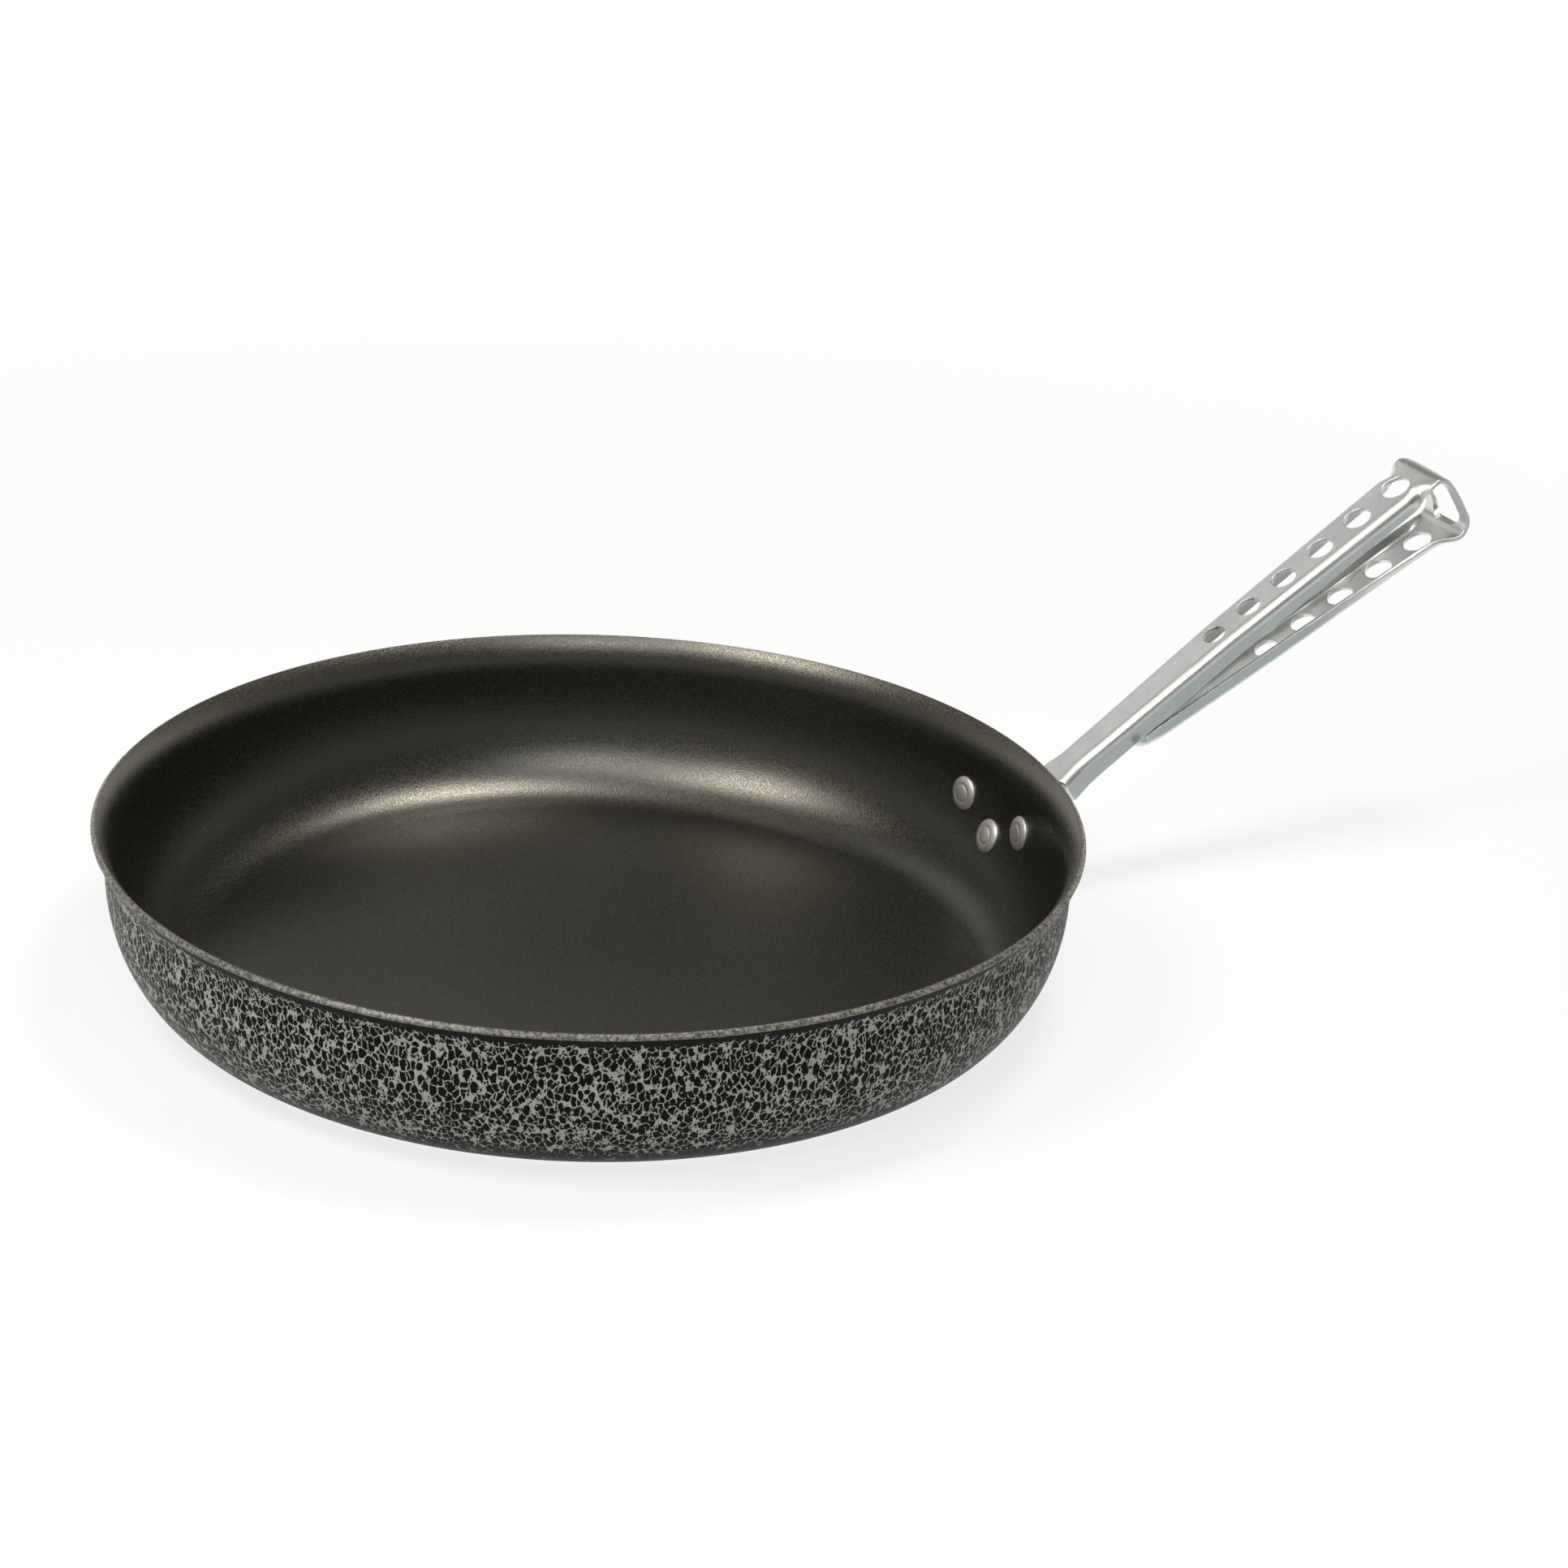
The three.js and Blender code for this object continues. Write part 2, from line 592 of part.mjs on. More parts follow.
const pan = new THREE.Group();
pan.name = "frying_pan";
pan.add(piece("pan_body", drilled(bodySolid()), finish(0xb9bab6, 0.42, 1)));
pan.add(piece("nonstick_lining", drilled(liningSolid()), finish(0x2c2b26, 0.5, 0)));
pan.add(piece("outer_coat", drilled(coatSolid()), finish(0x6d706d, 0.45, 0.3)));
pan.add(piece("handle_strap", strapSolid(drills), finish(0xc9cdca, 0.28, 1)));
for (const frame of frames) {
  const rivet = piece(frame.name, rivetSolid(frame), finish(0xa9a8a2, 0.45, 1));
  rivet.position.copy(frame.place);
  rivet.quaternion.copy(frame.upright);
  pan.add(rivet);
}

export default pan;
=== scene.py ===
from math import asin, atan2, cos, pi, radians, sin, sqrt, tan

import bmesh
import bpy
from bpy.props import FloatProperty, FloatVectorProperty, IntProperty, PointerProperty
from mathutils import Matrix, Vector


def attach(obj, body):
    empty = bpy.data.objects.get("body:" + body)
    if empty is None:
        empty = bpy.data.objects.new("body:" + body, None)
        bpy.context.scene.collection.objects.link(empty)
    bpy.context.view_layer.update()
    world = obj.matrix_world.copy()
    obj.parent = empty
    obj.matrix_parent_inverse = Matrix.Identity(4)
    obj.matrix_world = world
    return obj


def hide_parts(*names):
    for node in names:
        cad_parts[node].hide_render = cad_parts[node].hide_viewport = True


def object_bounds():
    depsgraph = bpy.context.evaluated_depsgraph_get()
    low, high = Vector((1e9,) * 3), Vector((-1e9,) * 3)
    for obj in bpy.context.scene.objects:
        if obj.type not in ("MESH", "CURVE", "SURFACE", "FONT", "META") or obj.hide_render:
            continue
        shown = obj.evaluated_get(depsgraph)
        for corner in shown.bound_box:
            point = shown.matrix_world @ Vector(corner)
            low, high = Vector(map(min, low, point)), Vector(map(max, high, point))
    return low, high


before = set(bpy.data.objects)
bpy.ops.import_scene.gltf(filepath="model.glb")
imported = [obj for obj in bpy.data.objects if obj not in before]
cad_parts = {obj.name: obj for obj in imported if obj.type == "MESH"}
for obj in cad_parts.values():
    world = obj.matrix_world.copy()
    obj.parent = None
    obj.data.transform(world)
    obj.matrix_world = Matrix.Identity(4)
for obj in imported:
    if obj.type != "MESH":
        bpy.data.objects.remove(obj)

bl_info = {
    "name": "Frying pan",
    "version": (1, 0, 0),
    "blender": (4, 5, 0),
    "location": "View3D > Sidebar > Pan",
    "description": "A turned frying pan with a folded, perforated strap handle, rivets and a studio stage",
    "category": "Object",
}

MM = 0.001
CAD_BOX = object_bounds()
BODY = "root"
RIVET_NODES = ("rivet_high_left", "rivet_high_right", "rivet_low")

# Points nearer than MERGE are one point, and edges shorter than SLIVER are dissolved
MERGE = 0.002 * MM
SLIVER = 0.001 * MM

# Edges that bend by more than these angles are shaded sharp
TURNED_SHARP = radians(40)
STRAP_SHARP = radians(38)
RIVET_SHARP = radians(50)

# How far before the cut edge the sheet's inner face ends, in edge roundings
INNER_STOP = 1.5

# Folds of the strip: the least fold angle, the straight flange of an open edge, and how far an edge is
# folded when the strip has narrowed to its channel
LEAST_FOLD = radians(0.5)
OPEN_FLANGE = 0.9 * MM
NARROWED_AT = 0.7

# Straight leg of the lower end bend, in bend radii
BEND_LEG = 1.06

# The palm's grid: rows below and above the strip's root, columns to each side of it, its tip's half width,
# the share of a row that the strip's root may take, and the steps that its outline is searched in
PALM_ROWS_BELOW = 26
PALM_ROWS_ABOVE = 14
PALM_COLUMNS = 12
PALM_TIP = 0.3 * MM
PALM_SPLIT = 0.6
PALM_SEARCH = 60

# Cutters: how far a flare stands proud of the face it rounds, how far round it goes, and how far a drill
# reaches from the strip's middle, in strips
PROUD = 0.03 * MM
FLARE_TURN = radians(72)
DRILL_REACH = 2.2

# The hang hole's cutter: how much wider it starts, how much narrower it ends, and how deep, in bend radii
HANG_MOUTH = 1.5 * MM
HANG_TAPER = 0.6 * MM
HANG_DEPTH = 0.68

# A spot weld's dent is cut by a flat ball: its radius in weld radii, half its height and its distance from
# the flange in dents
WELD_BALL = 1.3
WELD_BALL_HEIGHT = 2.7
WELD_BALL_OFF = 1.7

# Grain of a finish: the width of a grain and of its slow drift
LINING_GRAIN = (0.8 * MM, 70 * MM)
SHEET_GRAIN = (1.3 * MM, 40 * MM)
PLATE_GRAIN = (2.2 * MM, 30 * MM)
RIVET_GRAIN = (0.9 * MM, 6 * MM)

# Streaks of a finish: their width and length, and how long a turned ring is for each radian
SHEET_RINGS = (0.7 * MM, 60 * MM)
PLATE_MARKS = (0.8 * MM, 45 * MM)
RIVET_MARKS = (0.5 * MM, 4 * MM)
RING_RUN = 0.1

# Heights over which the lining takes a painted highlight below its edge, and the coat takes painted shade
# above the wall and above the base
LIP_HIGHLIGHT_DROP = 6 * MM
COAT_LIP_SHADE = (7 * MM, 10 * MM)
COAT_BASE_SHADE = (2 * MM, 15 * MM)

# The coat's cells are stretched up the wall, and their outlines wander by this much
COAT_STRETCH = (1.0, 1.0, 0.62)
COAT_WANDER = 1.7 * MM

# Distances from a spot weld over which its heat tint fades
HEAT_FADE = (0.8 * MM, 3.2 * MM)

# Noise scales, in cells for each metre
COAT_WANDER_SCALE = 380.0
COAT_PATCH_SCALE = 150.0
COAT_TONE_SCALE = 300.0
STAIN_SCALE = 55.0
PAPER_SCALE = 900.0

# Black cells of the coat: width in usual cells, radius in sparse and in dense patches, half the vein between
COAT_CELLS = ((1.0, 0.72, 0.54, 0.052), (0.5, 0.48, 0.36, 0.10))

# The stage, in metres: the floor's half side and its drop below the pan, and the flag's size and place
FLOOR_HALF_SIDE = 20.0
FLOOR_DROP = 0.3 * MM
FLAG_SIZE = (0.62, 0.56, 1.0)
FLAG_PLACE = (0.53, -0.335)
FLAG_RISE = 0.2 * MM

# The studio in reflections: how far ahead a direction points where the backdrop starts and is full, how
# bright it is there, and the heights over which the backdrop ends and the diffuser overhead starts
BACKDROP_AHEAD = (-0.1, 0.45)
BACKDROP_LEVEL = (0.45, 1.0)
BACKDROP_END = (0.16, 0.40)
DIFFUSER_START = (0.70, 0.95)
STUDIO_TINT = (1.0, 0.985, 0.945)

# Softboxes: name, place, what it faces, width and depth in metres, watts and tint
WARM = (1.0, 0.975, 0.92)
COOL = (0.94, 0.975, 1.0)
BOWL_MIDDLE = (0.0, 0.0, 0.03)
GRIP_MIDDLE = (0.3, 0.0, 0.1)
SOFTBOXES = (
    ("softbox_top", (0.41, -0.05, 1.40), BOWL_MIDDLE, 0.35, 0.35, 9.5, WARM),
    ("softbox_left", (-0.80, -0.06, 1.14), BOWL_MIDDLE, 0.45, 0.50, 9.5, WARM),
    ("softbox_front", (-0.45, -0.88, 1.30), BOWL_MIDDLE, 0.60, 0.45, 5.5, COOL),
    ("softbox_back", (0.06, 1.20, 0.98), GRIP_MIDDLE, 0.90, 0.60, 1.12, COOL),
)


# Settings that a user would change

def size(name, millimetres, words):
    return FloatProperty(
        name=name, description=words, default=millimetres * MM, unit="LENGTH", precision=5)


def turn(name, degrees, words):
    return FloatProperty(name=name, description=words, default=radians(degrees), subtype="ANGLE")


def share(name, value, words):
    return FloatProperty(name=name, description=words, default=value, min=0.0, max=1.0)


def count(name, value, words):
    return IntProperty(name=name, description=words, default=value, min=1)


def colour(name, value, words):
    return FloatVectorProperty(
        name=name, description=words, default=value, subtype="COLOR", size=3, min=0.0, max=1.0)


class BowlSettings(bpy.types.PropertyGroup):
    """The pressed bowl and its two films"""
    base_radius: size("Base radius", 144, "Radius of the flat base")
    corner_reach: size("Corner reach", 31, "How far the oval corner reaches out of the base")
    corner_rise: size("Corner rise", 45, "How high the oval corner rises")
    wall_rise: size("Wall rise", 4.2, "Height of the upright wall above the corner")
    lip_radius: size("Lip radius", 17, "Bend radius of the lip, on its outer face")
    lip_turn: turn("Lip turn", 45, "How far the lip leans outwards")
    sheet: size("Sheet", 2, "Thickness of the pressed sheet")
    film: size("Film", 0.2, "Thickness of the lining and of the coat")
    film_gap: size("Film gap", 0.05, "Clearance between the sheet and a film")
    edge_round: size("Edge round", 0.55, "Rounding of the sheet's cut edge at the lip")
    lining_land: size("Lining land", 0.25, "Bare sheet between the lining's end and the cut edge")
    coat_low: turn("Coat low edge", 12, "Where the outer coat starts above the base")
    coat_high: turn("Coat high edge", 42, "Where the outer coat ends under the lip")
    sides: count("Sides", 288, "Segments round the bowl")
    corner_steps: count("Corner steps", 36, "Segments up the corner")
    lip_steps: count("Lip steps", 14, "Segments round the lip's bend")
    edge_steps: count("Edge steps", 4, "Segments round each corner of the cut edge")
    floor_steps: count("Floor steps", 24, "Segments from the centre to the edge of the floor")
    foot_steps: count("Foot steps", 4, "Segments of the bare corner below the coat")


class RivetSettings(bpy.types.PropertyGroup):
    """The three rivets that hold the handle"""
    high_height: size("High rivets", 34.2, "Height of the upper pair on the wall")
    low_height: size("Low rivet", 24.4, "Height of the lower rivet on the wall")
    spacing: size("Spacing", 42, "Distance between the upper pair")
    head_radius: size("Head radius", 6.6, "Radius of the domed head")
    head_rise: size("Head rise", 2.2, "Rise of the domed head over the lining")
    head_edge: size("Head edge", 0.5, "Upright edge of the head")
    ring_radius: size("Ring radius", 3.4, "Radius of the setting tool's faint ring on the head")
    ring_half_width: size("Ring half width", 0.9, "Half the width of that ring")
    ring_depth: size("Ring depth", 0.28, "Depth of that ring")
    shank_radius: size("Shank radius", 3.6, "Radius of the shank")
    tail_radius: size("Tail radius", 5.2, "Radius of the upset tail")
    tail_rise: size("Tail rise", 3, "Rise of the upset tail")
    seat_gap: size("Seat gap", 0.3, "Clearance under head and tail")
    sides: count("Sides", 48, "Segments round a rivet")
    dome_steps: count("Dome steps", 24, "Segments from a dome's top to its edge")


class StrapSettings(bpy.types.PropertyGroup):
    """The folded steel strap"""
    strip: size("Strip", 1.8, "Thickness of the strip")
    edge_round: size("Edge round", 0.5, "Rounding of the strip's cut edges")
    edge_steps: count("Edge steps", 3, "Segments round each corner of a cut edge")
    palm_gap: size("Palm gap", 0.3, "Clearance between the palm and the coat")
    palm_margin: size("Palm margin", 9, "Metal round each rivet")
    root_height: size("Root height", 32.4, "Height on the wall where the strip leaves the palm")
    root_radius: size("Root radius", 10, "Bend radius where the strip leaves the palm")
    root_half_width: size("Root half width", 12, "Half width of the strip at the palm")
    neck_rise: turn("Neck rise", 33.8, "Slope of the neck")
    grip_rise: turn("Grip rise", 32, "Slope of the grip")
    neck_length: size("Neck length", 109, "Length of the neck")
    grip_length: size("Grip length", 110.6, "Length of the grip")
    flange_start: size("Flange start", 23, "Where the folded edges start")
    flange_ramp: size("Flange ramp", 7, "Length over which the edges fold down at their start")
    neck_half_width: size("Neck half width", 7.6, "Half width of the channel at the neck")
    neck_flare: size("Neck flare", 2.2, "How much wider the channel starts")
    neck_flare_run: size("Neck flare run", 15, "Length of that flare")
    neck_depth: size("Neck depth", 10.3, "Depth of the channel at the neck")
    grip_half_width: size("Grip half width", 12.2, "Half width of the channel at the end")
    grip_depth: size("Grip depth", 6.5, "Depth of the channel at the end")
    fold_radius: size("Fold radius", 4, "Outer radius of the folded edges")
    tab_half_width: size("Tab half width", 13.8, "Half width of the flat end")
    tab_length: size("Tab length", 5, "Length of the flat end")
    tab_fade: size("Tab fade", 14, "Length over which the edges open to the flat end")
    end_fold: share("End fold", 0.06, "Share of the fold that is left at the flat end")
    end_height: size("End height", 30.5, "Height of the strap's end")
    end_top_radius: size("End top radius", 6.8, "Upper bend radius of the end")
    end_low_radius: size("End low radius", 7.8, "Lower bend radius of the end")
    end_bow: size("End bow", 0.9, "How far the end is bowed outwards")
    end_bow_radius: size("End bow radius", 100, "Bend radius of that bow")
    hole_width: size("Hang hole width", 17.5, "Width of the hang hole")
    hole_top_land: size("Hang hole top land", 7, "Metal above the hang hole")
    hole_low_land: size("Hang hole low land", 2.4, "Metal below the hang hole")
    hole_corner: size("Hang hole corner", 4, "Corner radius of the hang hole")
    return_inset: size("Return inset", 0.6, "How much narrower the return leaf is")
    return_radius: size("Return fold radius", 2.6, "Outer radius of the return leaf's folded lips")
    return_lip: size("Return lip", 6.1, "Height of the return leaf's lips")
    return_end_lip: size("Return end lip", 6.4, "Height of those lips near the end")
    return_lip_run: size("Return lip run", 75, "Length over which the lips grow")
    return_lean: share("Return lean", 0.62, "Share of the fold that the lips have near the end")
    return_fade: size("Return fade", 14, "Length over which the lips start")
    return_clearance: size("Return clearance", 1.4, "Gap between the lips and the channel's edges")
    tongue_lip: size("Tongue lip", 5, "Height of the tongue's lips")
    tongue_fade: size("Tongue fade", 9, "Length over which the leaf narrows to the tongue")
    joggle_start: size("Joggle start", 61.5, "Where the return leaf steps into the channel")
    joggle_length: size("Joggle length", 6, "Length of that step")
    joggle_radius: size("Joggle radius", 6, "Bend radius of that step")
    tongue_length: size("Tongue length", 13, "Length of the tongue in the channel")
    tongue_sink: size("Tongue sink", 0.7, "How far the tongue lies inside the channel's edges")
    tongue_gap: size("Tongue gap", 0.3, "Clearance between the tongue and the channel")
    weld_from_tip: size("Weld place", 17, "Distance of the spot welds from the tongue's tip")
    weld_depth: size("Weld depth", 7.3, "Depth of the spot welds below the top face")
    weld_radius: size("Weld radius", 2.0, "Radius of a spot weld's dent")
    weld_dent: size("Weld dent", 0.15, "Depth of a spot weld's dent")
    holes: count("Holes", 6, "Cooling holes in the top leaf")
    low_holes: count("Low holes", 5, "Cooling holes in the return leaf")
    first_hole: size("First hole", 9, "Diameter of the hole nearest the pan")
    hole_growth: size("Hole growth", 0.5, "How much each hole grows towards the end")
    hole_land: size("Hole land", 8.4, "Metal between two holes")
    hole_end_land: size("Hole end land", 10.8, "Metal between the last hole and the end")
    low_row_shift: size("Low row shift", 2, "How far the lower row lies towards the pan")
    rim_round: size("Rim round", 0.45, "Rounding of the holes' rims")
    rim_steps: count("Rim steps", 5, "Segments of a cooling hole's rounded rim")
    hole_rim_steps: count("Hang hole rim steps", 4, "Segments of the hang hole's rounded rim")
    hole_corner_steps: count("Hang hole corner steps", 8, "Segments round a corner of the hang hole")
    sides: count("Hole sides", 48, "Segments round a hole")
    fold_steps: count("Fold steps", 8, "Segments round a folded edge")
    web_steps: count("Web steps", 10, "Segments across the flat web")
    bend_steps: count("Bend steps", 12, "Segments round a bend of the strip")
    run_step: size("Run step", 2.5, "Longest step along a straight stretch")


class FinishSettings(bpy.types.PropertyGroup):
    """Colours and gloss of the finishes"""
    lining_dark: colour("Lining dark", (0.0012, 0.0012, 0.0010), "Ground of the non-stick lining")
    lining_pale: colour("Lining pale", (0.0062, 0.0056, 0.0042), "Specks of the non-stick lining")
    # The lining's lip colour is a painted highlight on the lip band
    lining_lip_highlight: colour("Lining lip", (0.050, 0.047, 0.037), "Thinner, paler lining on the lip")
    lining_rough: share("Lining roughness", 0.32, "Roughness of the lining")
    lining_sheen: share("Lining sheen", 0.78, "Strength of the lining's reflection")
    lining_tint: colour("Lining tint", (1.0, 0.955, 0.82), "Tint of the lining's reflection")
    coat_dark: colour("Coat cells", (0.0045, 0.0045, 0.0042), "Black cells of the outer coat")
    coat_pale: colour("Coat veins", (0.40, 0.425, 0.385), "Grey veins of the outer coat")
    coat_cell: size("Coat cell", 2.3, "Usual width of a black cell")
    sheet_bare: colour("Bare sheet", (0.70, 0.70, 0.67), "Bare aluminium under the base")
    edge_dark: colour("Edge dark", (0.030, 0.029, 0.023), "Dull specks of the cut edge")
    edge_pale: colour("Edge pale", (0.29, 0.28, 0.235), "Bright specks of the cut edge")
    plate: colour("Plate", (0.82, 0.82, 0.80), "Plated steel of the strap")
    heat_tint: colour("Heat tint", (0.30, 0.33, 0.36), "Plate that the spot welds have dulled")
    rivet: colour("Rivet", (0.78, 0.77, 0.73), "Matte aluminium of the rivets")


class StageSettings(bpy.types.PropertyGroup):
    """Camera, light and floor"""
    camera_place: FloatVectorProperty(
        name="Camera", description="Where the camera stands", unit="LENGTH", precision=5,
        default=(-722.73 * MM, -1447.09 * MM, 774.22 * MM))
    camera_forward: FloatVectorProperty(
        name="Camera forward", description="Where the camera looks", subtype="DIRECTION",
        default=(0.4453, 0.80334, -0.39542))
    camera_up: FloatVectorProperty(
        name="Camera up", description="Which way is up in the picture", subtype="DIRECTION",
        default=(0.15407, 0.36628, 0.91766))
    lens: FloatProperty(name="Lens", description="Focal length on a 36 mm sensor", default=111.8)
    flag_colour: colour("Flag", (0.39, 0.445, 0.46), "The card that the handle's near side reflects")
    floor_colour: colour("Floor", (0.93, 0.93, 0.93), "The pale floor")
    white_share: share("White share", 0.80, "How much of the floor near the pan is plain white paper")
    ambient: share("Ambient", 0.12, "Light from all round")
    ceiling: share("Ceiling", 0.12, "How bright the studio is in a reflection, away from the white backdrop")
    overhead: share("Overhead", 0.45, "How bright the diffuser overhead is in a reflection")


SETTINGS = {
    "pan_bowl": BowlSettings,
    "pan_rivets": RivetSettings,
    "pan_strap": StrapSettings,
    "pan_finish": FinishSettings,
    "pan_stage": StageSettings,
}


# Small helpers for numbers

def lerp(low, high, part):
    return low + (high - low) * part


def smooth(value, low, high):
    part = min(1.0, max(0.0, (value - low) / (high - low)))
    return part * part * (3 - 2 * part)


def spread(steps, low, high):
    return [lerp(low, high, i / steps) for i in range(steps + 1)]


def paced(low, high, longest):
    """Evenly spaced numbers whose steps are about as long as the longest step."""
    return spread(max(1, round(abs(high - low) / longest)), low, high)


def heading(angle):
    return Vector((cos(angle), sin(angle)))


def upright(point):
    """A point of the side view, in the XZ plane."""
    return (point.x, 0.0, point.y)


def mirrored(points):
    """Points on the other side of the middle, in the opposite order."""
    return [Vector((-p.x, p.y)) for p in points][::-1]


# The bowl's section, as (radius, height) points sunk by a depth from the outer face

def wall_thickness(bowl):
    return bowl.sheet + 2 * bowl.film + 2 * bowl.film_gap


def inward_at(bowl, angle):
    return Vector((-bowl.corner_rise * cos(angle), bowl.corner_reach * sin(angle))).normalized()


def corner_point(bowl, angle, depth):
    radius = bowl.base_radius + bowl.corner_reach * cos(angle)
    height = bowl.corner_rise * (1 - sin(angle))
    return Vector((radius, height)) + inward_at(bowl, angle) * depth


def corner_angle(bowl, height):
    return asin(min(1.0, max(0.0, 1 - height / bowl.corner_rise)))


def lip_point(bowl, angle, depth):
    radius = bowl.base_radius + bowl.corner_reach + bowl.lip_radius * (1 - cos(angle))
    height = bowl.corner_rise + bowl.wall_rise + bowl.lip_radius * sin(angle)
    return Vector((radius - depth * cos(angle), height + depth * sin(angle)))


def wall_line(bowl, depth, low_edge, high_edge):
    corner = [corner_point(bowl, a, depth) for a in spread(bowl.corner_steps, pi / 2 - low_edge, 0)]
    lip = [lip_point(bowl, a, depth) for a in spread(bowl.lip_steps, 0, high_edge)]
    return corner + lip


def floor_line(bowl, height):
    return [Vector((r, height)) for r in spread(bowl.floor_steps, 0, bowl.base_radius)][:-1]


def cut_edge(bowl, depth_out, depth_in):
    """The sheet's rounded end at the lip, from its outer to its inner face."""
    ahead = Vector((sin(bowl.lip_turn), cos(bowl.lip_turn)))
    inward = Vector((-cos(bowl.lip_turn), sin(bowl.lip_turn)))
    r = bowl.edge_round
    low = lip_point(bowl, bowl.lip_turn, depth_out) + (inward - ahead) * r
    high = lip_point(bowl, bowl.lip_turn, depth_in) - (inward + ahead) * r
    quarter = spread(bowl.edge_steps, 0, pi / 2)
    return [low + (ahead * sin(a) - inward * cos(a)) * r for a in quarter] + [
        high + (ahead * cos(a) + inward * sin(a)) * r for a in quarter]


def body_section(bowl):
    """The sheet, with a rebate for the coat on its outside and one for the lining on its inside."""
    rebate = bowl.film + bowl.film_gap
    inside = wall_thickness(bowl) - rebate
    stop = bowl.lip_turn - INNER_STOP * bowl.edge_round / bowl.lip_radius
    foot = [corner_point(bowl, a, 0) for a in spread(bowl.foot_steps, pi / 2, pi / 2 - bowl.coat_low)]
    outside = wall_line(bowl, rebate, bowl.coat_low, bowl.coat_high)
    shoulder = lip_point(bowl, bowl.coat_high, 0)
    inner = wall_line(bowl, inside, 0, stop)
    return (floor_line(bowl, 0) + foot + outside + [shoulder] + cut_edge(bowl, 0, inside)
            + inner[::-1] + floor_line(bowl, inside)[::-1])


def lining_section(bowl):
    """The film over the whole inside, up to the land at the cut edge."""
    wall = wall_thickness(bowl)
    stop = bowl.lip_turn - bowl.lining_land / bowl.lip_radius
    back = wall_line(bowl, wall - bowl.film, 0, stop)
    front = wall_line(bowl, wall, 0, stop - bowl.film / bowl.lip_radius)
    return floor_line(bowl, wall - bowl.film) + back + front[::-1] + floor_line(bowl, wall)[::-1]


def coat_section(bowl):
    """The film in the sheet's outer rebate, as a closed loop."""
    outside = wall_line(bowl, 0, bowl.coat_low, bowl.coat_high)
    inside = wall_line(bowl, bowl.film, bowl.coat_low, bowl.coat_high)
    return outside + inside[::-1]


# The rivets' section in a rivet's own frame: +Z straight out of the wall, origin on the wall's outer face

def rivet_section(rivets, bowl, strap):
    head = -wall_thickness(bowl)
    tail = strap.palm_gap + strap.strip + rivets.seat_gap
    points = []
    for a in spread(rivets.dome_steps, 0, pi / 2):
        radius = rivets.head_radius * sin(a)
        height = head - rivets.head_edge - (rivets.head_rise - rivets.head_edge) * cos(a)
        ring = max(0.0, 1 - abs(radius - rivets.ring_radius) / rivets.ring_half_width)
        points.append(Vector((radius, height + rivets.ring_depth * ring)))
    points.append(Vector((rivets.head_radius, head + rivets.seat_gap)))
    points.append(Vector((rivets.shank_radius, head + rivets.seat_gap)))
    points.append(Vector((rivets.shank_radius, tail)))
    for a in spread(rivets.dome_steps, pi / 2, 0):
        points.append(Vector((rivets.tail_radius * sin(a), tail + rivets.tail_rise * cos(a))))
    return points


def rivet_places(rivets, bowl):
    """Where each rivet crosses the wall's outer face, and which way is straight out."""
    found = []
    for height, side in (
            (rivets.high_height, rivets.spacing / 2),
            (rivets.high_height, -rivets.spacing / 2),
            (rivets.low_height, 0.0)):
        angle = corner_angle(bowl, height)
        radius = corner_point(bowl, angle, 0).x
        way = asin(side / radius)
        inward = inward_at(bowl, angle)
        outward = Vector((-inward.x * cos(way), -inward.x * sin(way), -inward.y))
        found.append((Vector((radius * cos(way), side, height)), outward))
    return found


# The strap's line in the XZ plane and its folded section

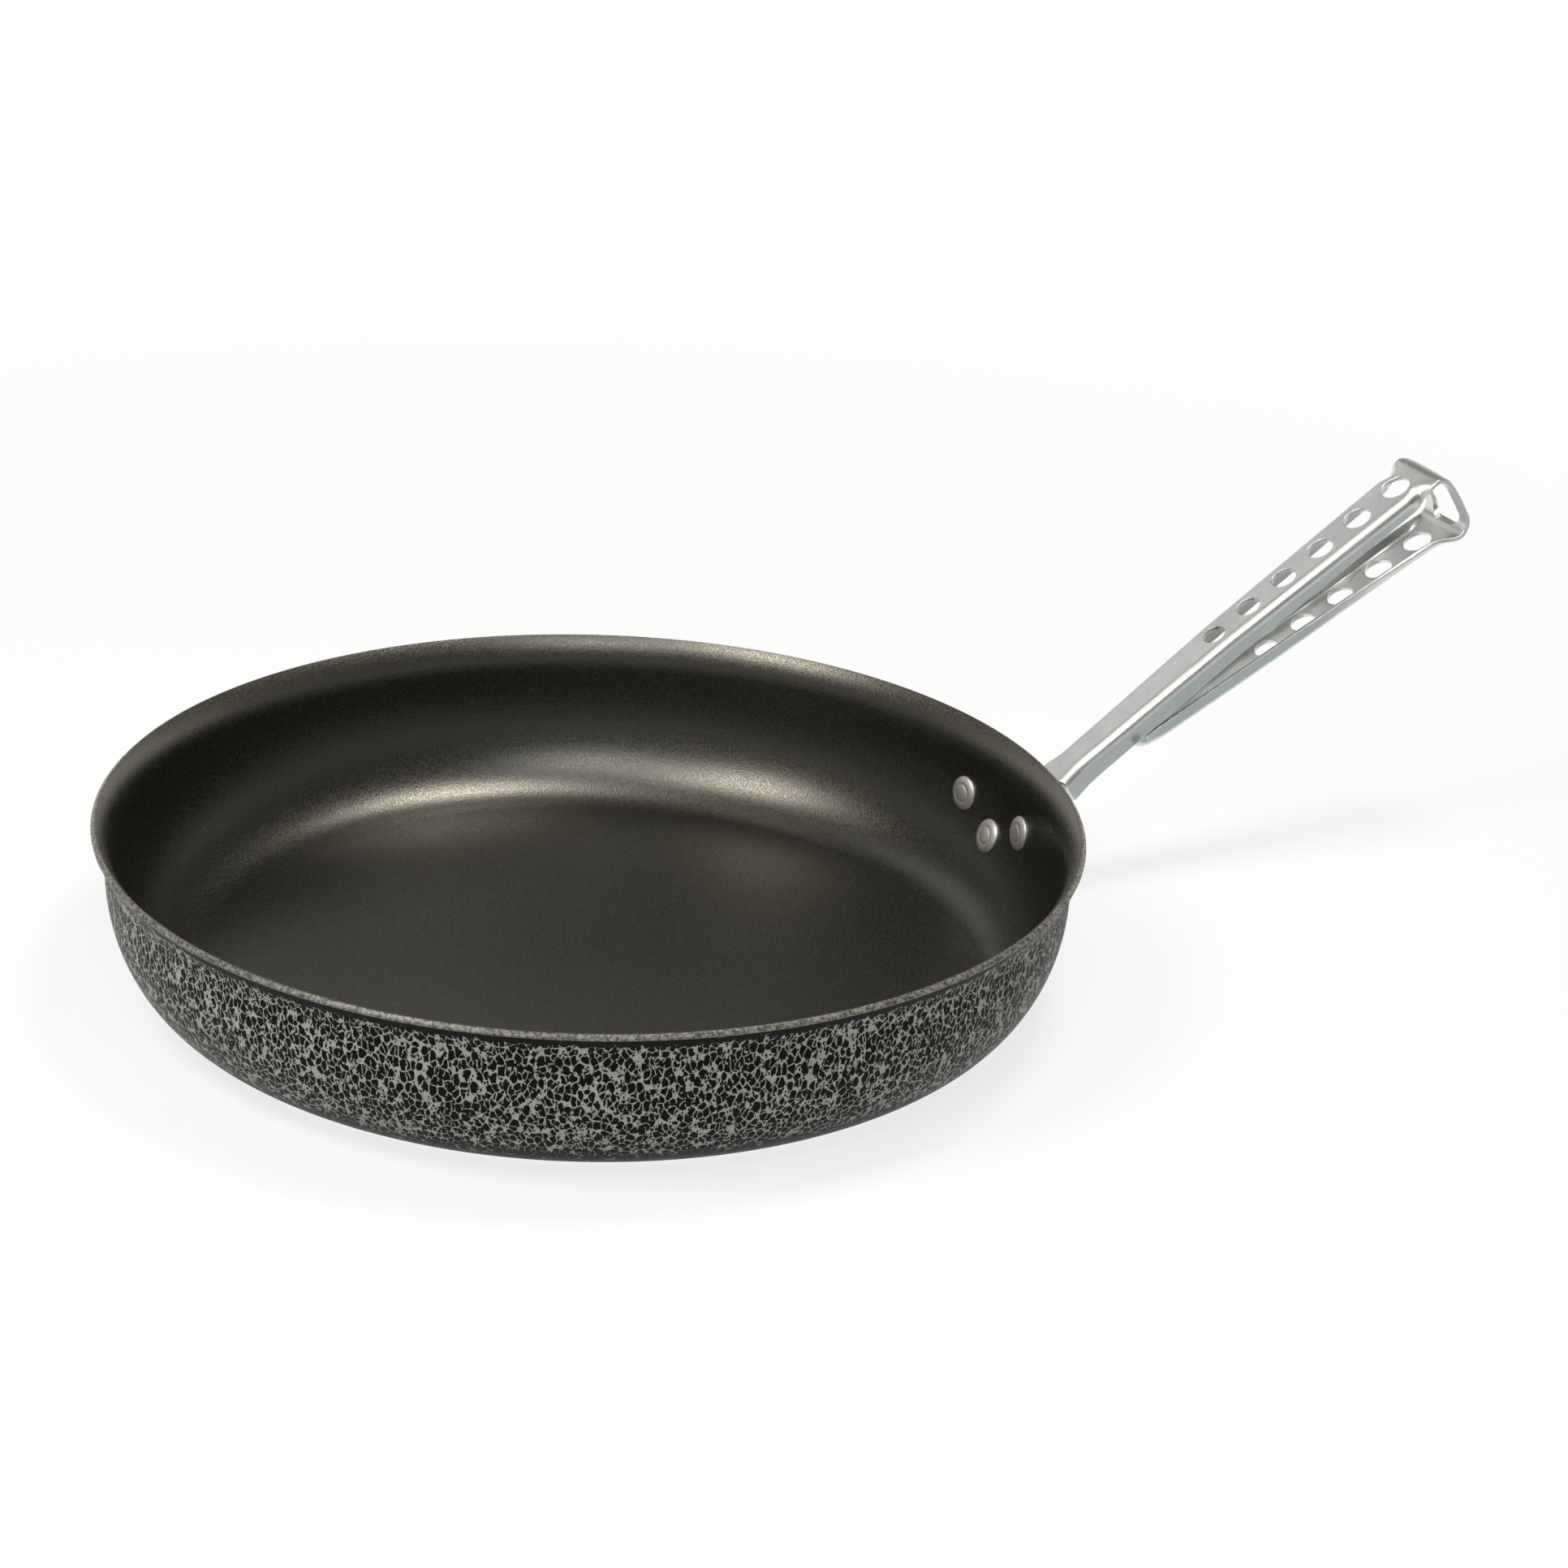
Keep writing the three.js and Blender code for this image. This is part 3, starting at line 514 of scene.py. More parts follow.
class StrapLine:
    """Where the strip's outer face runs from the palm to the tongue, and how its edges are folded there"""

    def __init__(self, strap, bowl):
        self.s = strap
        self.bowl = bowl
        self.root = corner_point(bowl, corner_angle(bowl, strap.root_height), -strap.palm_gap)
        self.neck_end = self.root + heading(strap.neck_rise) * strap.neck_length
        self.end_top = self.neck_end + heading(strap.grip_rise) * strap.grip_length
        self.end_low = self.end_top + heading(strap.grip_rise - pi / 2) * strap.end_height
        self.reach = strap.neck_length + strap.grip_length
        self.tab_start = self.reach - strap.tab_length
        drop = self.channel_depth(strap.joggle_start) + strap.return_clearance + strap.tongue_lip
        self.joggle = self.top_point(strap.joggle_start, drop)
        self.return_rise = atan2(self.end_low.y - self.joggle.y, self.end_low.x - self.joggle.x)

    def top_point(self, reach, depth=0.0):
        on_neck = reach < self.s.neck_length
        rise = self.s.neck_rise if on_neck else self.s.grip_rise
        start = self.root if on_neck else self.neck_end
        run = reach if on_neck else reach - self.s.neck_length
        return start + heading(rise) * run + heading(rise - pi / 2) * depth

    def reach_of(self, point):
        run = (point - self.root).dot(heading(self.s.neck_rise))
        if run < self.s.neck_length:
            return run
        return self.s.neck_length + (point - self.neck_end).dot(heading(self.s.grip_rise))

    def share_along(self, reach):
        start = self.s.flange_start
        return min(1.0, max(0.0, (reach - start) / (self.reach - start)))

    def channel_half_width(self, reach):
        s = self.s
        flared = 1 - smooth(reach, s.flange_start, s.flange_start + s.neck_flare_run)
        return lerp(s.neck_half_width, s.grip_half_width, self.share_along(reach)) + s.neck_flare * flared

    def channel_depth(self, reach):
        return lerp(self.s.neck_depth, self.s.grip_depth, self.share_along(reach))

    def fold(self, open_half_width, half_width, depth, radius, folded):
        """Flat half width, fold angle, fold radius and straight flange, for edges folded by a share."""
        angle = max(LEAST_FOLD, folded * pi / 2)
        bend = radius * pi / 2 / angle
        flange = lerp(OPEN_FLANGE, depth - radius, folded)
        width = lerp(open_half_width, half_width, smooth(folded, 0, NARROWED_AT))
        return width - bend * sin(angle) - flange * cos(angle), angle, bend, flange

    def top_fold(self, reach):
        s = self.s
        half_width = self.channel_half_width(reach)
        if reach < s.flange_start + s.flange_ramp:
            folded = smooth(reach, s.flange_start - s.flange_ramp / 2, s.flange_start + s.flange_ramp / 2)
            root = lerp(s.root_half_width, half_width, smooth(reach, 0, s.flange_start))
            return self.fold(root, half_width, self.channel_depth(reach), s.fold_radius, folded)
        opened = smooth(reach, self.tab_start - s.tab_fade, self.tab_start)
        folded = lerp(1, s.end_fold, opened)
        return self.fold(s.tab_half_width, half_width, self.channel_depth(reach), s.fold_radius, folded)

    def end_fold(self, reach):
        s = self.s
        return self.fold(
            s.tab_half_width, self.channel_half_width(reach), s.grip_depth, s.fold_radius, s.end_fold / 2)

    def return_fold(self, reach):
        s = self.s
        fade_end = self.tab_start - s.return_fade
        share_in = min(1.0, max(0.0, (fade_end - reach) / s.return_lip_run))
        folded = lerp(s.return_lean, 1, share_in) * (1 - smooth(reach, fade_end, self.tab_start))
        tucked = 1 - smooth(reach, s.joggle_start, s.joggle_start + s.tongue_fade)
        inset = lerp(s.return_inset, s.strip + s.tongue_gap, tucked)
        lip = lerp(lerp(s.return_end_lip, s.return_lip, share_in), s.tongue_lip, tucked)
        half_width = self.channel_half_width(reach) - inset
        return self.fold(s.tab_half_width, half_width, lip, s.return_radius, folded)

    def return_point(self, reach):
        part = (reach - self.s.joggle_start) / (self.reach_of(self.end_low) - self.s.joggle_start)
        return self.joggle.lerp(self.end_low, part)

    def tongue_point(self, reach):
        return self.top_point(reach, self.channel_depth(reach) - self.s.tongue_sink)

    def weld_reach(self):
        s = self.s
        return s.joggle_start - s.joggle_length - s.tongue_length + s.weld_from_tip

    def weld_point(self):
        return self.top_point(self.weld_reach(), self.s.weld_depth)

    def corners(self):
        """Corners of the strip's side view, each with its section and bend radius."""
        s = self.s
        inward = inward_at(self.bowl, corner_angle(self.bowl, s.root_height))
        up_wall = Vector((inward.y, -inward.x))
        tongue_start = s.joggle_start - s.joggle_length
        tongue_wide = s.joggle_start + s.tongue_fade
        fine = s.run_step / 3
        ramp_start = s.flange_start - s.flange_ramp
        ramp_end = s.flange_start + s.flange_ramp
        fade_start = self.tab_start - s.tab_fade
        return_start = self.tab_start - s.return_fade
        top = (paced(s.root_radius, ramp_start, s.run_step)
               + paced(ramp_start, ramp_end, fine / 2)[1:]
               + paced(ramp_end, fade_start, s.run_step)[1:]
               + paced(fade_start, self.reach - s.end_top_radius - fine, fine)[1:])
        low = (paced(self.reach - BEND_LEG * s.end_low_radius - fine, return_start, fine)
               + paced(return_start, tongue_wide, s.run_step)[1:]
               + paced(tongue_wide, s.joggle_start + s.joggle_length, fine)[1:])
        bow = self.end_top.lerp(self.end_low, 0.5) + heading(s.grip_rise) * s.end_bow
        tongue = paced(tongue_start, tongue_start - s.tongue_length, s.run_step)
        return [
            (self.root - up_wall * s.root_radius, self.top_fold, 0.0),
            (self.root, self.top_fold, s.root_radius),
            *((self.top_point(r), self.top_fold, 0.0) for r in top),
            (self.end_top, self.top_fold, s.end_top_radius),
            (bow, self.end_fold, s.end_bow_radius),
            (self.end_low, self.return_fold, s.end_low_radius),
            *((self.return_point(r), self.return_fold, 0.0) for r in low),
            (self.joggle, self.return_fold, s.joggle_radius),
            (self.tongue_point(tongue[0]), self.return_fold, s.joggle_radius),
            *((self.tongue_point(r), self.return_fold, 0.0) for r in tongue[1:]),
        ]

    def stops(self):
        """Places, directions and sections along the strip, with its corners rounded."""
        corners = self.corners()
        ways = [(b[0] - a[0]).normalized() for a, b in zip(corners, corners[1:])]
        found = []
        for i, (at, section, bend) in enumerate(corners):
            before = ways[max(i - 1, 0)]
            after = ways[min(i, len(ways) - 1)]
            first = atan2(before.y, before.x)
            bent = atan2(before.x * after.y - before.y * after.x, before.dot(after))
            if bend == 0:
                found.append((at, first + bent / 2, section))
                continue
            start = at - before * bend * tan(abs(bent) / 2)
            centre = start + Vector((-before.y, before.x)) * bend * (1 if bent > 0 else -1)
            for a in spread(self.s.bend_steps, 0, bent):
                found.append((centre + Matrix.Rotation(a, 2) @ (start - centre), first + a, section))
        return found

    def section(self, fold):
        """Outer face, rounded edge, inner face and rounded edge of one cross-section, as (side, depth)."""
        flat, angle, bend, flange = fold
        e = self.s.edge_round
        ahead = Vector((cos(angle), sin(angle)))
        inward = Vector((-sin(angle), cos(angle)))

        def half(thickness):
            radius = bend - thickness
            web = [Vector((x, thickness)) for x in spread(self.s.web_steps, 0, flat)][1:-1]
            arc = [Vector((flat + radius * sin(a), bend - radius * cos(a)))
                   for a in spread(self.s.fold_steps, 0, angle)]
            return web + arc + [arc[-1] + ahead * (flange - e)]

        outer, inner = half(0.0), half(self.s.strip)
        quarter = spread(self.s.edge_steps, 0, pi / 2)
        near = outer[-1] + inward * e
        far = inner[-1] - inward * e
        edge = [near + (ahead * sin(a) - inward * cos(a)) * e for a in quarter[1:]] + [
            far + (ahead * cos(a) + inward * sin(a)) * e for a in quarter[:-1]]
        outer_face = mirrored(outer) + [Vector((0.0, 0.0))] + outer
        inner_face = mirrored(inner) + [Vector((0.0, self.s.strip))] + inner
        return outer_face, edge, inner_face, mirrored(edge)

    def place(self, stop, point):
        at, way, _ = stop
        inside = Vector((sin(way), -cos(way)))
        return Vector((at.x + inside.x * point.y, point.x, at.y + inside.y * point.y))


def bridge(made, rings):
    """Joins each ring of points to the next with faces."""
    for a, b in zip(rings, rings[1:]):
        for i in range(len(a)):
            k = (i + 1) % len(a)
            made.faces.new((a[i], b[i], b[k], a[k]))


def strap_mesh(line):
    """The strip as one closed loft from the palm to the tongue's tip."""
    made = bmesh.new()
    rings = []
    for stop in line.stops()[1:]:
        outer, right, inner, left = line.section(stop[2](line.reach_of(stop[0])))
        ring = outer + right + inner[::-1] + left
        rings.append([made.verts.new(line.place(stop, p)) for p in ring])
    bridge(made, rings)
    across, round_edge = len(outer), len(right)
    for ring in (rings[0], rings[-1]):
        top = ring[:across]
        low = ring[across + round_edge:2 * across + round_edge][::-1]
        for i in range(across - 1):
            made.faces.new((top[i], top[i + 1], low[i + 1], low[i]))
        made.faces.new([top[-1]] + ring[across:across + round_edge] + [low[-1]])
        made.faces.new([top[0]] + ring[2 * across + round_edge:][::-1] + [low[0]])
    bmesh.ops.recalc_face_normals(made, faces=made.faces)
    return made


def palm_half_width(strap, rivets, height):
    """Half the palm's width at a height: the hull of a margin round each rivet."""
    best = 0.0
    for part in spread(PALM_SEARCH, 0, 1):
        rise = height - lerp(rivets.low_height, rivets.high_height, part)
        if abs(rise) <= strap.palm_margin:
            best = max(best, part * rivets.spacing / 2 + sqrt(strap.palm_margin ** 2 - rise ** 2))
    return best


def palm_mesh(strap, rivets, bowl):
    """The plate that hugs the wall round the rivets, with a gap where the strip leaves it."""
    made = bmesh.new()
    low = rivets.low_height - strap.palm_margin
    top = rivets.high_height + strap.palm_margin
    root = strap.root_height
    heights = [lerp(low, root, 1 - cos(p)) for p in spread(PALM_ROWS_BELOW, 0, pi / 2)]
    heights += [lerp(root, top, sin(p)) for p in spread(PALM_ROWS_ABOVE, 0, pi / 2)[1:]]
    columns = spread(PALM_COLUMNS, 0, 1)

    def on_wall(side, height, depth):
        angle = corner_angle(bowl, height)
        point = corner_point(bowl, angle, -depth)
        way = asin(side / point.x)
        return Vector((point.x * cos(way), point.x * sin(way), point.y))

    rows = []
    for height in heights:
        half = max(palm_half_width(strap, rivets, height), PALM_TIP)
        split = min(strap.root_half_width, PALM_SPLIT * half)
        sides = [lerp(0, split, c) for c in columns] + [lerp(split, half, c) for c in columns[1:]]
        rows.append([-s for s in sides[:0:-1]] + sides)
    faces = ((strap.palm_gap, []), (strap.palm_gap + strap.strip, []))
    for depth, grid in faces:
        for height, row in zip(heights, rows):
            grid.append([made.verts.new(on_wall(side, height, depth)) for side in row])
    middle = len(rows[0]) // 2
    near, far = faces[0][1], faces[1][1]
    cells = {
        (i, j) for i in range(len(heights) - 1) for j in range(len(rows[0]) - 1)
        if i < PALM_ROWS_BELOW or not middle - PALM_COLUMNS <= j < middle + PALM_COLUMNS}
    for i, j in cells:
        made.faces.new((near[i][j], near[i][j + 1], near[i + 1][j + 1], near[i + 1][j]))
        made.faces.new((far[i][j], far[i + 1][j], far[i + 1][j + 1], far[i][j + 1]))
        for (di, dj), (a, b) in {
                (-1, 0): ((i, j), (i, j + 1)), (1, 0): ((i + 1, j + 1), (i + 1, j)),
                (0, -1): ((i + 1, j), (i, j)), (0, 1): ((i, j + 1), (i + 1, j + 1))}.items():
            if (i + di, j + dj) not in cells:
                made.faces.new((near[a[0]][a[1]], far[a[0]][a[1]], far[b[0]][b[1]], near[b[0]][b[1]]))
    loose = [v for v in made.verts if not v.link_faces]
    bmesh.ops.delete(made, geom=loose, context="VERTS")
    bmesh.ops.recalc_face_normals(made, faces=made.faces)
    return made


def drill_section(strap):
    """A drill of unit radius whose ends flare, so that it rounds the rims of the hole it cuts."""
    mean = (strap.first_hole + strap.hole_growth * (strap.holes - 1) / 2) / 2
    flare = strap.rim_round / mean
    face = strap.strip / 2 + PROUD
    far = DRILL_REACH * strap.strip
    rim = []
    for a in spread(strap.rim_steps, 0, FLARE_TURN):
        below = strap.rim_round * (sin(FLARE_TURN) - sin(a))
        rim.append((1 + flare * (1 - cos(a)), face - below))
    upper = [Vector(p) for p in rim] + [Vector((rim[-1][0] + flare / 2, far)), Vector((0.0, far))]
    return [Vector((p.x, -p.y)) for p in upper[::-1]] + upper


def hang_hole_mesh(line):
    """The cutters for the hang hole, a round-cornered block that flares, and for the spot welds' dents."""
    s = line.s
    made = bmesh.new()
    half = s.hole_width / 2
    top, low = -s.hole_top_land, s.hole_low_land - s.end_height
    r = s.hole_corner
    centres = ((half - r, top - r), (r - half, top - r), (r - half, low + r), (half - r, low + r))
    outline = [
        (Vector(centre), heading(a))
        for quarter, centre in enumerate(centres)
        for a in spread(s.hole_corner_steps, quarter * pi / 2, (quarter + 1) * pi / 2)]
    flare = []
    for a in spread(s.hole_rim_steps, FLARE_TURN, 0):
        flare.append((s.rim_round * (1 - cos(a)), s.rim_round * (sin(FLARE_TURN) - sin(a))))
    face = s.end_bow / 2 + PROUD
    stations = [(flare[0][0] + HANG_MOUTH, face + s.strip)]
    stations += [(grow, face - sunk) for grow, sunk in flare]
    stations += [(grow, face - s.strip - 2 * PROUD + sunk) for grow, sunk in flare[::-1]]
    stations += [(-HANG_TAPER, -HANG_DEPTH * s.end_low_radius)]
    ahead, up = heading(s.grip_rise), heading(s.grip_rise + pi / 2)
    rings = []
    for grow, out in stations:
        ring = []
        for centre, way in outline:
            at = centre + way * (r + grow)
            place = line.end_top + ahead * out + up * at.y
            ring.append(made.verts.new((place.x, at.x, place.y)))
        rings.append(ring)
    bridge(made, rings)
    made.faces.new(rings[0])
    made.faces.new(rings[-1])
    place = line.weld_point()
    wide = WELD_BALL * s.weld_radius
    ball = Matrix.Diagonal((wide, WELD_BALL_HEIGHT * s.weld_dent, wide, 1.0))
    for side in (-1, 1):
        off = side * (line.channel_half_width(line.weld_reach()) + WELD_BALL_OFF * s.weld_dent)
        at = Matrix.Translation((place.x, off, place.y)) @ ball @ Matrix.Rotation(pi / 2, 4, "X")
        bmesh.ops.create_uvsphere(made, u_segments=32, v_segments=24, radius=1.0, matrix=at)
    bmesh.ops.recalc_face_normals(made, faces=made.faces)
    return made


# Objects and plain meshes

def new_object(name, data):
    made = bpy.data.objects.new(name, data)
    bpy.context.scene.collection.objects.link(made)
    return made


def from_bmesh(name, source):
    mesh = bpy.data.meshes.new(name)
    source.to_mesh(mesh)
    source.free()
    return new_object(name, mesh)


def section_object(name, points):
    """A section's points as loose vertices in the XZ plane, in order."""
    mesh = bpy.data.meshes.new(name)
    mesh.from_pydata([upright(p) for p in points], [], [])
    return new_object(name, mesh)


def drop(made):
    mesh = made.data
    bpy.data.objects.remove(made)
    bpy.data.meshes.remove(mesh)


def grown(source, tree, values, name, sharp):
    """Runs a node tree on an object and keeps the result as a plain mesh that faces outwards."""
    modifier = source.modifiers.new("Shape", "NODES")
    modifier.node_group = tree
    for item in tree.interface.items_tree:
        if item.item_type == "SOCKET" and item.in_out == "INPUT" and item.name in values:
            modifier[item.identifier] = values[item.name]
    bpy.context.view_layer.update()
    ready = source.evaluated_get(bpy.context.evaluated_depsgraph_get())
    mesh = bpy.data.meshes.new_from_object(ready)
    source.modifiers.remove(modifier)
    if not mesh.polygons:
        raise RuntimeError(f"{name} came out empty")
    tidy = bmesh.new()
    tidy.from_mesh(mesh)
    bmesh.ops.remove_doubles(tidy, verts=tidy.verts, dist=MERGE)
    bmesh.ops.dissolve_degenerate(tidy, edges=tidy.edges, dist=SLIVER)
    bmesh.ops.recalc_face_normals(tidy, faces=tidy.faces)
    tidy.to_mesh(mesh)
    tidy.free()
    mesh.name = name
    mesh.shade_smooth()
    mesh.set_sharp_from_angle(angle=sharp)
    drop(source)
    return new_object(name, mesh)


def take_place(piece, slot, *nodes):
    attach(piece, BODY)
    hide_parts(*nodes)


# Building node trees

class Nodes:
    """Adds and links the nodes of one tree"""

    def __init__(self, tree):
        self.tree = tree

    def add(self, kind, inputs=None, **settings):
        node = self.tree.nodes.new(kind)
        for key, value in settings.items():
            setattr(node, key, value)
        for key, value in (inputs or {}).items():
            socket = node.inputs[key]
            if isinstance(value, bpy.types.NodeSocket):
                self.tree.links.new(value, socket)
            else:
                socket.default_value = value
        return node

    def math(self, operation, *values):
        node = self.add("ShaderNodeMath", dict(enumerate(values)), operation=operation)
        return node.outputs[0]

    def blend(self, *parts):
        """The sum of some values, each times its share"""
        total = 0.0
        for value, part in parts:
            total = self.math("MULTIPLY_ADD", value, part, total)
        return total

    def length(self, vector):
        return self.add("ShaderNodeVectorMath", {0: vector}, operation="LENGTH").outputs["Value"]

    def end(self, shader, kind="ShaderNodeOutputMaterial"):
        self.add(kind, {"Surface": shader.outputs[0]})

    def vector(self, operation, *values):
        node = self.add("ShaderNodeVectorMath", dict(enumerate(values)), operation=operation)
        return node.outputs[0]

    def apart(self, vector):
        return self.add("ShaderNodeSeparateXYZ", {0: vector}).outputs

    def together(self, x, y, z):
        return self.add("ShaderNodeCombineXYZ", {0: x, 1: y, 2: z}).outputs[0]

    def scaled(self, vector, factor):
        node = self.add("ShaderNodeVectorMath", {0: vector, "Scale": factor}, operation="SCALE")
        return node.outputs[0]

    def ranged(self, value, low, high, to_low=0.0, to_high=1.0):
        node = self.add(
            "ShaderNodeMapRange", {0: value, 1: low, 2: high, 3: to_low, 4: to_high},
            interpolation_type="SMOOTHSTEP")
        return node.outputs[0]

    def mix(self, part, low, high):
        node = self.add("ShaderNodeMix", {0: part, 6: low, 7: high}, data_type="RGBA")
        return node.outputs[2]

    def noise(self, vector, scale, detail=2.0, roughness=0.5):
        return self.add(
            "ShaderNodeTexNoise",
            {"Vector": vector, "Scale": scale, "Detail": detail, "Roughness": roughness}).outputs["Fac"]


def new_tree(name, kind, inputs, outputs):
    tree = bpy.data.node_groups.new(name, kind)
    for label, sort, value in inputs:
        socket = tree.interface.new_socket(label, in_out="INPUT", socket_type=sort)
        if value is not None:
            socket.default_value = value
    for label, sort in outputs:
        tree.interface.new_socket(label, in_out="OUTPUT", socket_type=sort)
    nodes = Nodes(tree)
    return tree, nodes, nodes.add("NodeGroupInput").outputs, nodes.add("NodeGroupOutput").inputs


GEOMETRY, WHOLE, NUMBER = "NodeSocketGeometry", "NodeSocketInt", "NodeSocketFloat"
VECTOR, FINISH, OBJECT, TICK = "NodeSocketVector", "NodeSocketMaterial", "NodeSocketObject", "NodeSocketBool"


def end_shape(n, geometry, finish, result):
    """Ends a tree in plain geometry with its finish on it."""
    whole = n.add("GeometryNodeRealizeInstances", {"Geometry": geometry})
    finished = n.add("GeometryNodeSetMaterial", {"Geometry": whole.outputs[0], "Material": finish})
    n.tree.links.new(finished.outputs[0], result[0])
    return n.tree


def turning_tree():
    """Turns a section's points about the Z axis."""
    name = "Turned section"
    if name in bpy.data.node_groups:
        return bpy.data.node_groups[name]
    tree, n, given, result = new_tree(
        name, "GeometryNodeTree",
        [("Section", GEOMETRY, None), ("Sides", WHOLE, 64), ("Closed", TICK, False),
         ("Finish", FINISH, None)],
        [("Geometry", GEOMETRY)])
    points = n.add("GeometryNodeAttributeDomainSize", {0: given["Section"]}).outputs["Point Count"]
    rows = n.math("ADD", points, given["Closed"])
    columns = n.math("ADD", given["Sides"], 1.0)
    grid = n.add("GeometryNodeMeshGrid", {"Vertices X": rows, "Vertices Y": columns})
    place = n.apart(n.add("GeometryNodeInputPosition").outputs[0])
    row = n.math("MULTIPLY", n.math("ADD", place[0], 0.5), n.math("SUBTRACT", rows, 1.0))
    row = n.math("MODULO", n.math("ROUND", row), points)
    angle = n.math("MULTIPLY", n.math("ADD", place[1], 0.5), 2 * pi)
    sample = n.add(
        "GeometryNodeSampleIndex",
        {"Geometry": given["Section"], "Index": row}, data_type="FLOAT_VECTOR", domain="POINT")
    tree.links.new(n.add("GeometryNodeInputPosition").outputs[0], sample.inputs["Value"])
    at = n.apart(sample.outputs[0])
    x = n.math("MULTIPLY", at[0], n.math("COSINE", angle))
    y = n.math("MULTIPLY", at[0], n.math("SINE", angle))
    turned = n.add(
        "GeometryNodeSetPosition", {"Geometry": grid.outputs["Mesh"], "Position": n.together(x, y, at[2])})
    facing = n.add("GeometryNodeFlipFaces", {"Mesh": turned.outputs[0]})
    merged = n.add("GeometryNodeMergeByDistance", {"Geometry": facing.outputs[0], "Distance": MERGE})
    return end_shape(n, merged.outputs[0], given["Finish"], result)


def turned_copy(n, section, sides):
    """One turned piece inside another tree, from a section object."""
    info = n.add("GeometryNodeObjectInfo", {"Object": section}, transform_space="ORIGINAL")
    inputs = {"Section": info.outputs["Geometry"], "Sides": sides}
    return n.add("GeometryNodeGroup", inputs, node_tree=turning_tree()).outputs[0]


def rivet_tree():
    """Sets a turned rivet on each place, along the place's normal."""
    _, n, given, result = new_tree(
        "Wall rivets", "GeometryNodeTree",
        [("Places", GEOMETRY, None), ("Section", OBJECT, None), ("Sides", WHOLE, 48),
         ("Finish", FINISH, None)],
        [("Geometry", GEOMETRY)])
    outward = n.add("GeometryNodeInputNamedAttribute", {"Name": "outward"}, data_type="FLOAT_VECTOR")
    square = n.add("FunctionNodeAlignRotationToVector", {"Vector": outward.outputs[0]}, axis="Z")
    copies = n.add("GeometryNodeInstanceOnPoints", {
        "Points": given["Places"],
        "Instance": turned_copy(n, given["Section"], given["Sides"]),
        "Rotation": square.outputs[0]})
    return end_shape(n, copies.outputs[0], given["Finish"], result)


def drill_row_tree():
    """A row of drills that shrink and close up towards the pan."""
    tree, n, given, result = new_tree(
        "Drill row", "GeometryNodeTree",
        [("Drill", GEOMETRY, None), ("End", VECTOR, None), ("Towards Pan", VECTOR, None),
         ("Axis", VECTOR, None), ("Count", WHOLE, 6), ("Last Diameter", NUMBER, 0.0115),
         ("Growth", NUMBER, 0.0005), ("Land", NUMBER, 0.0084)],
        [("Geometry", GEOMETRY)])
    i = n.add("GeometryNodeInputIndex").outputs[0]
    diameter = n.math("SUBTRACT", given["Last Diameter"], n.math("MULTIPLY", i, given["Growth"]))
    pitch = n.math("ADD", given["Last Diameter"], given["Land"])
    pairs = n.math("MULTIPLY", i, n.math("SUBTRACT", i, 1.0))
    shrink = n.math("MULTIPLY", n.math("MULTIPLY", pairs, 0.5), given["Growth"])
    run = n.math("SUBTRACT", n.math("MULTIPLY", i, pitch), shrink)
    run = n.math("ADD", run, n.math("MULTIPLY", diameter, 0.5))
    place = n.vector("ADD", given["End"], n.scaled(given["Towards Pan"], run))
    points = n.add("GeometryNodePoints", {"Count": given["Count"], "Position": place})
    square = n.add("FunctionNodeAlignRotationToVector", {"Vector": given["Axis"]}, axis="Z")
    radius = n.math("MULTIPLY", diameter, 0.5)
    copies = n.add("GeometryNodeInstanceOnPoints", {
        "Points": points.outputs[0], "Instance": given["Drill"],
        "Rotation": square.outputs[0], "Scale": n.together(radius, radius, 1.0)})
    whole = n.add("GeometryNodeRealizeInstances", {"Geometry": copies.outputs[0]})
    tree.links.new(whole.outputs[0], result[0])
    return tree


def strap_tree():
    """Joins the strip to its palm, then cuts the cooling holes, the hang hole and the welds' dents."""
    row_inputs = (("End", VECTOR), ("Towards Pan", VECTOR), ("Axis", VECTOR), ("Count", WHOLE))
    rows = [(f"{which} {label}", sort, None) for which in ("Top", "Low") for label, sort in row_inputs]
    tree, n, given, result = new_tree(
        "Perforated strap", "GeometryNodeTree",
        [("Strip", GEOMETRY, None), ("Palm", OBJECT, None), ("Hang Hole", OBJECT, None),
         ("Drill Section", OBJECT, None), ("Sides", WHOLE, 48)] + rows
        + [("Last Diameter", NUMBER, 0.0115), ("Growth", NUMBER, 0.0005), ("Land", NUMBER, 0.0084),
           ("Finish", FINISH, None)],
        [("Geometry", GEOMETRY)])
    palm = n.add("GeometryNodeObjectInfo", {"Object": given["Palm"]}, transform_space="ORIGINAL")
    hang = n.add("GeometryNodeObjectInfo", {"Object": given["Hang Hole"]}, transform_space="ORIGINAL")
    drill = turned_copy(n, given["Drill Section"], given["Sides"])
    row_tree = drill_row_tree()
    cutters = [hang.outputs["Geometry"]]
    for which in ("Top", "Low"):
        inputs = {"Drill": drill}
        for label, _ in row_inputs:
            inputs[label] = given[f"{which} {label}"]
        for label in ("Last Diameter", "Growth", "Land"):
            inputs[label] = given[label]
        cutters.append(n.add("GeometryNodeGroup", inputs, node_tree=row_tree).outputs[0])
    joined = n.add("GeometryNodeMeshBoolean", operation="UNION", solver="EXACT")
    tree.links.new(given["Strip"], joined.inputs["Mesh 2"])
    tree.links.new(palm.outputs["Geometry"], joined.inputs["Mesh 2"])
    cut = n.add(
        "GeometryNodeMeshBoolean", {"Mesh 1": joined.outputs[0]}, operation="DIFFERENCE", solver="EXACT")
    for cutter in cutters:
        tree.links.new(cutter, cut.inputs["Mesh 2"])
    return end_shape(n, cut.outputs[0], given["Finish"], result)


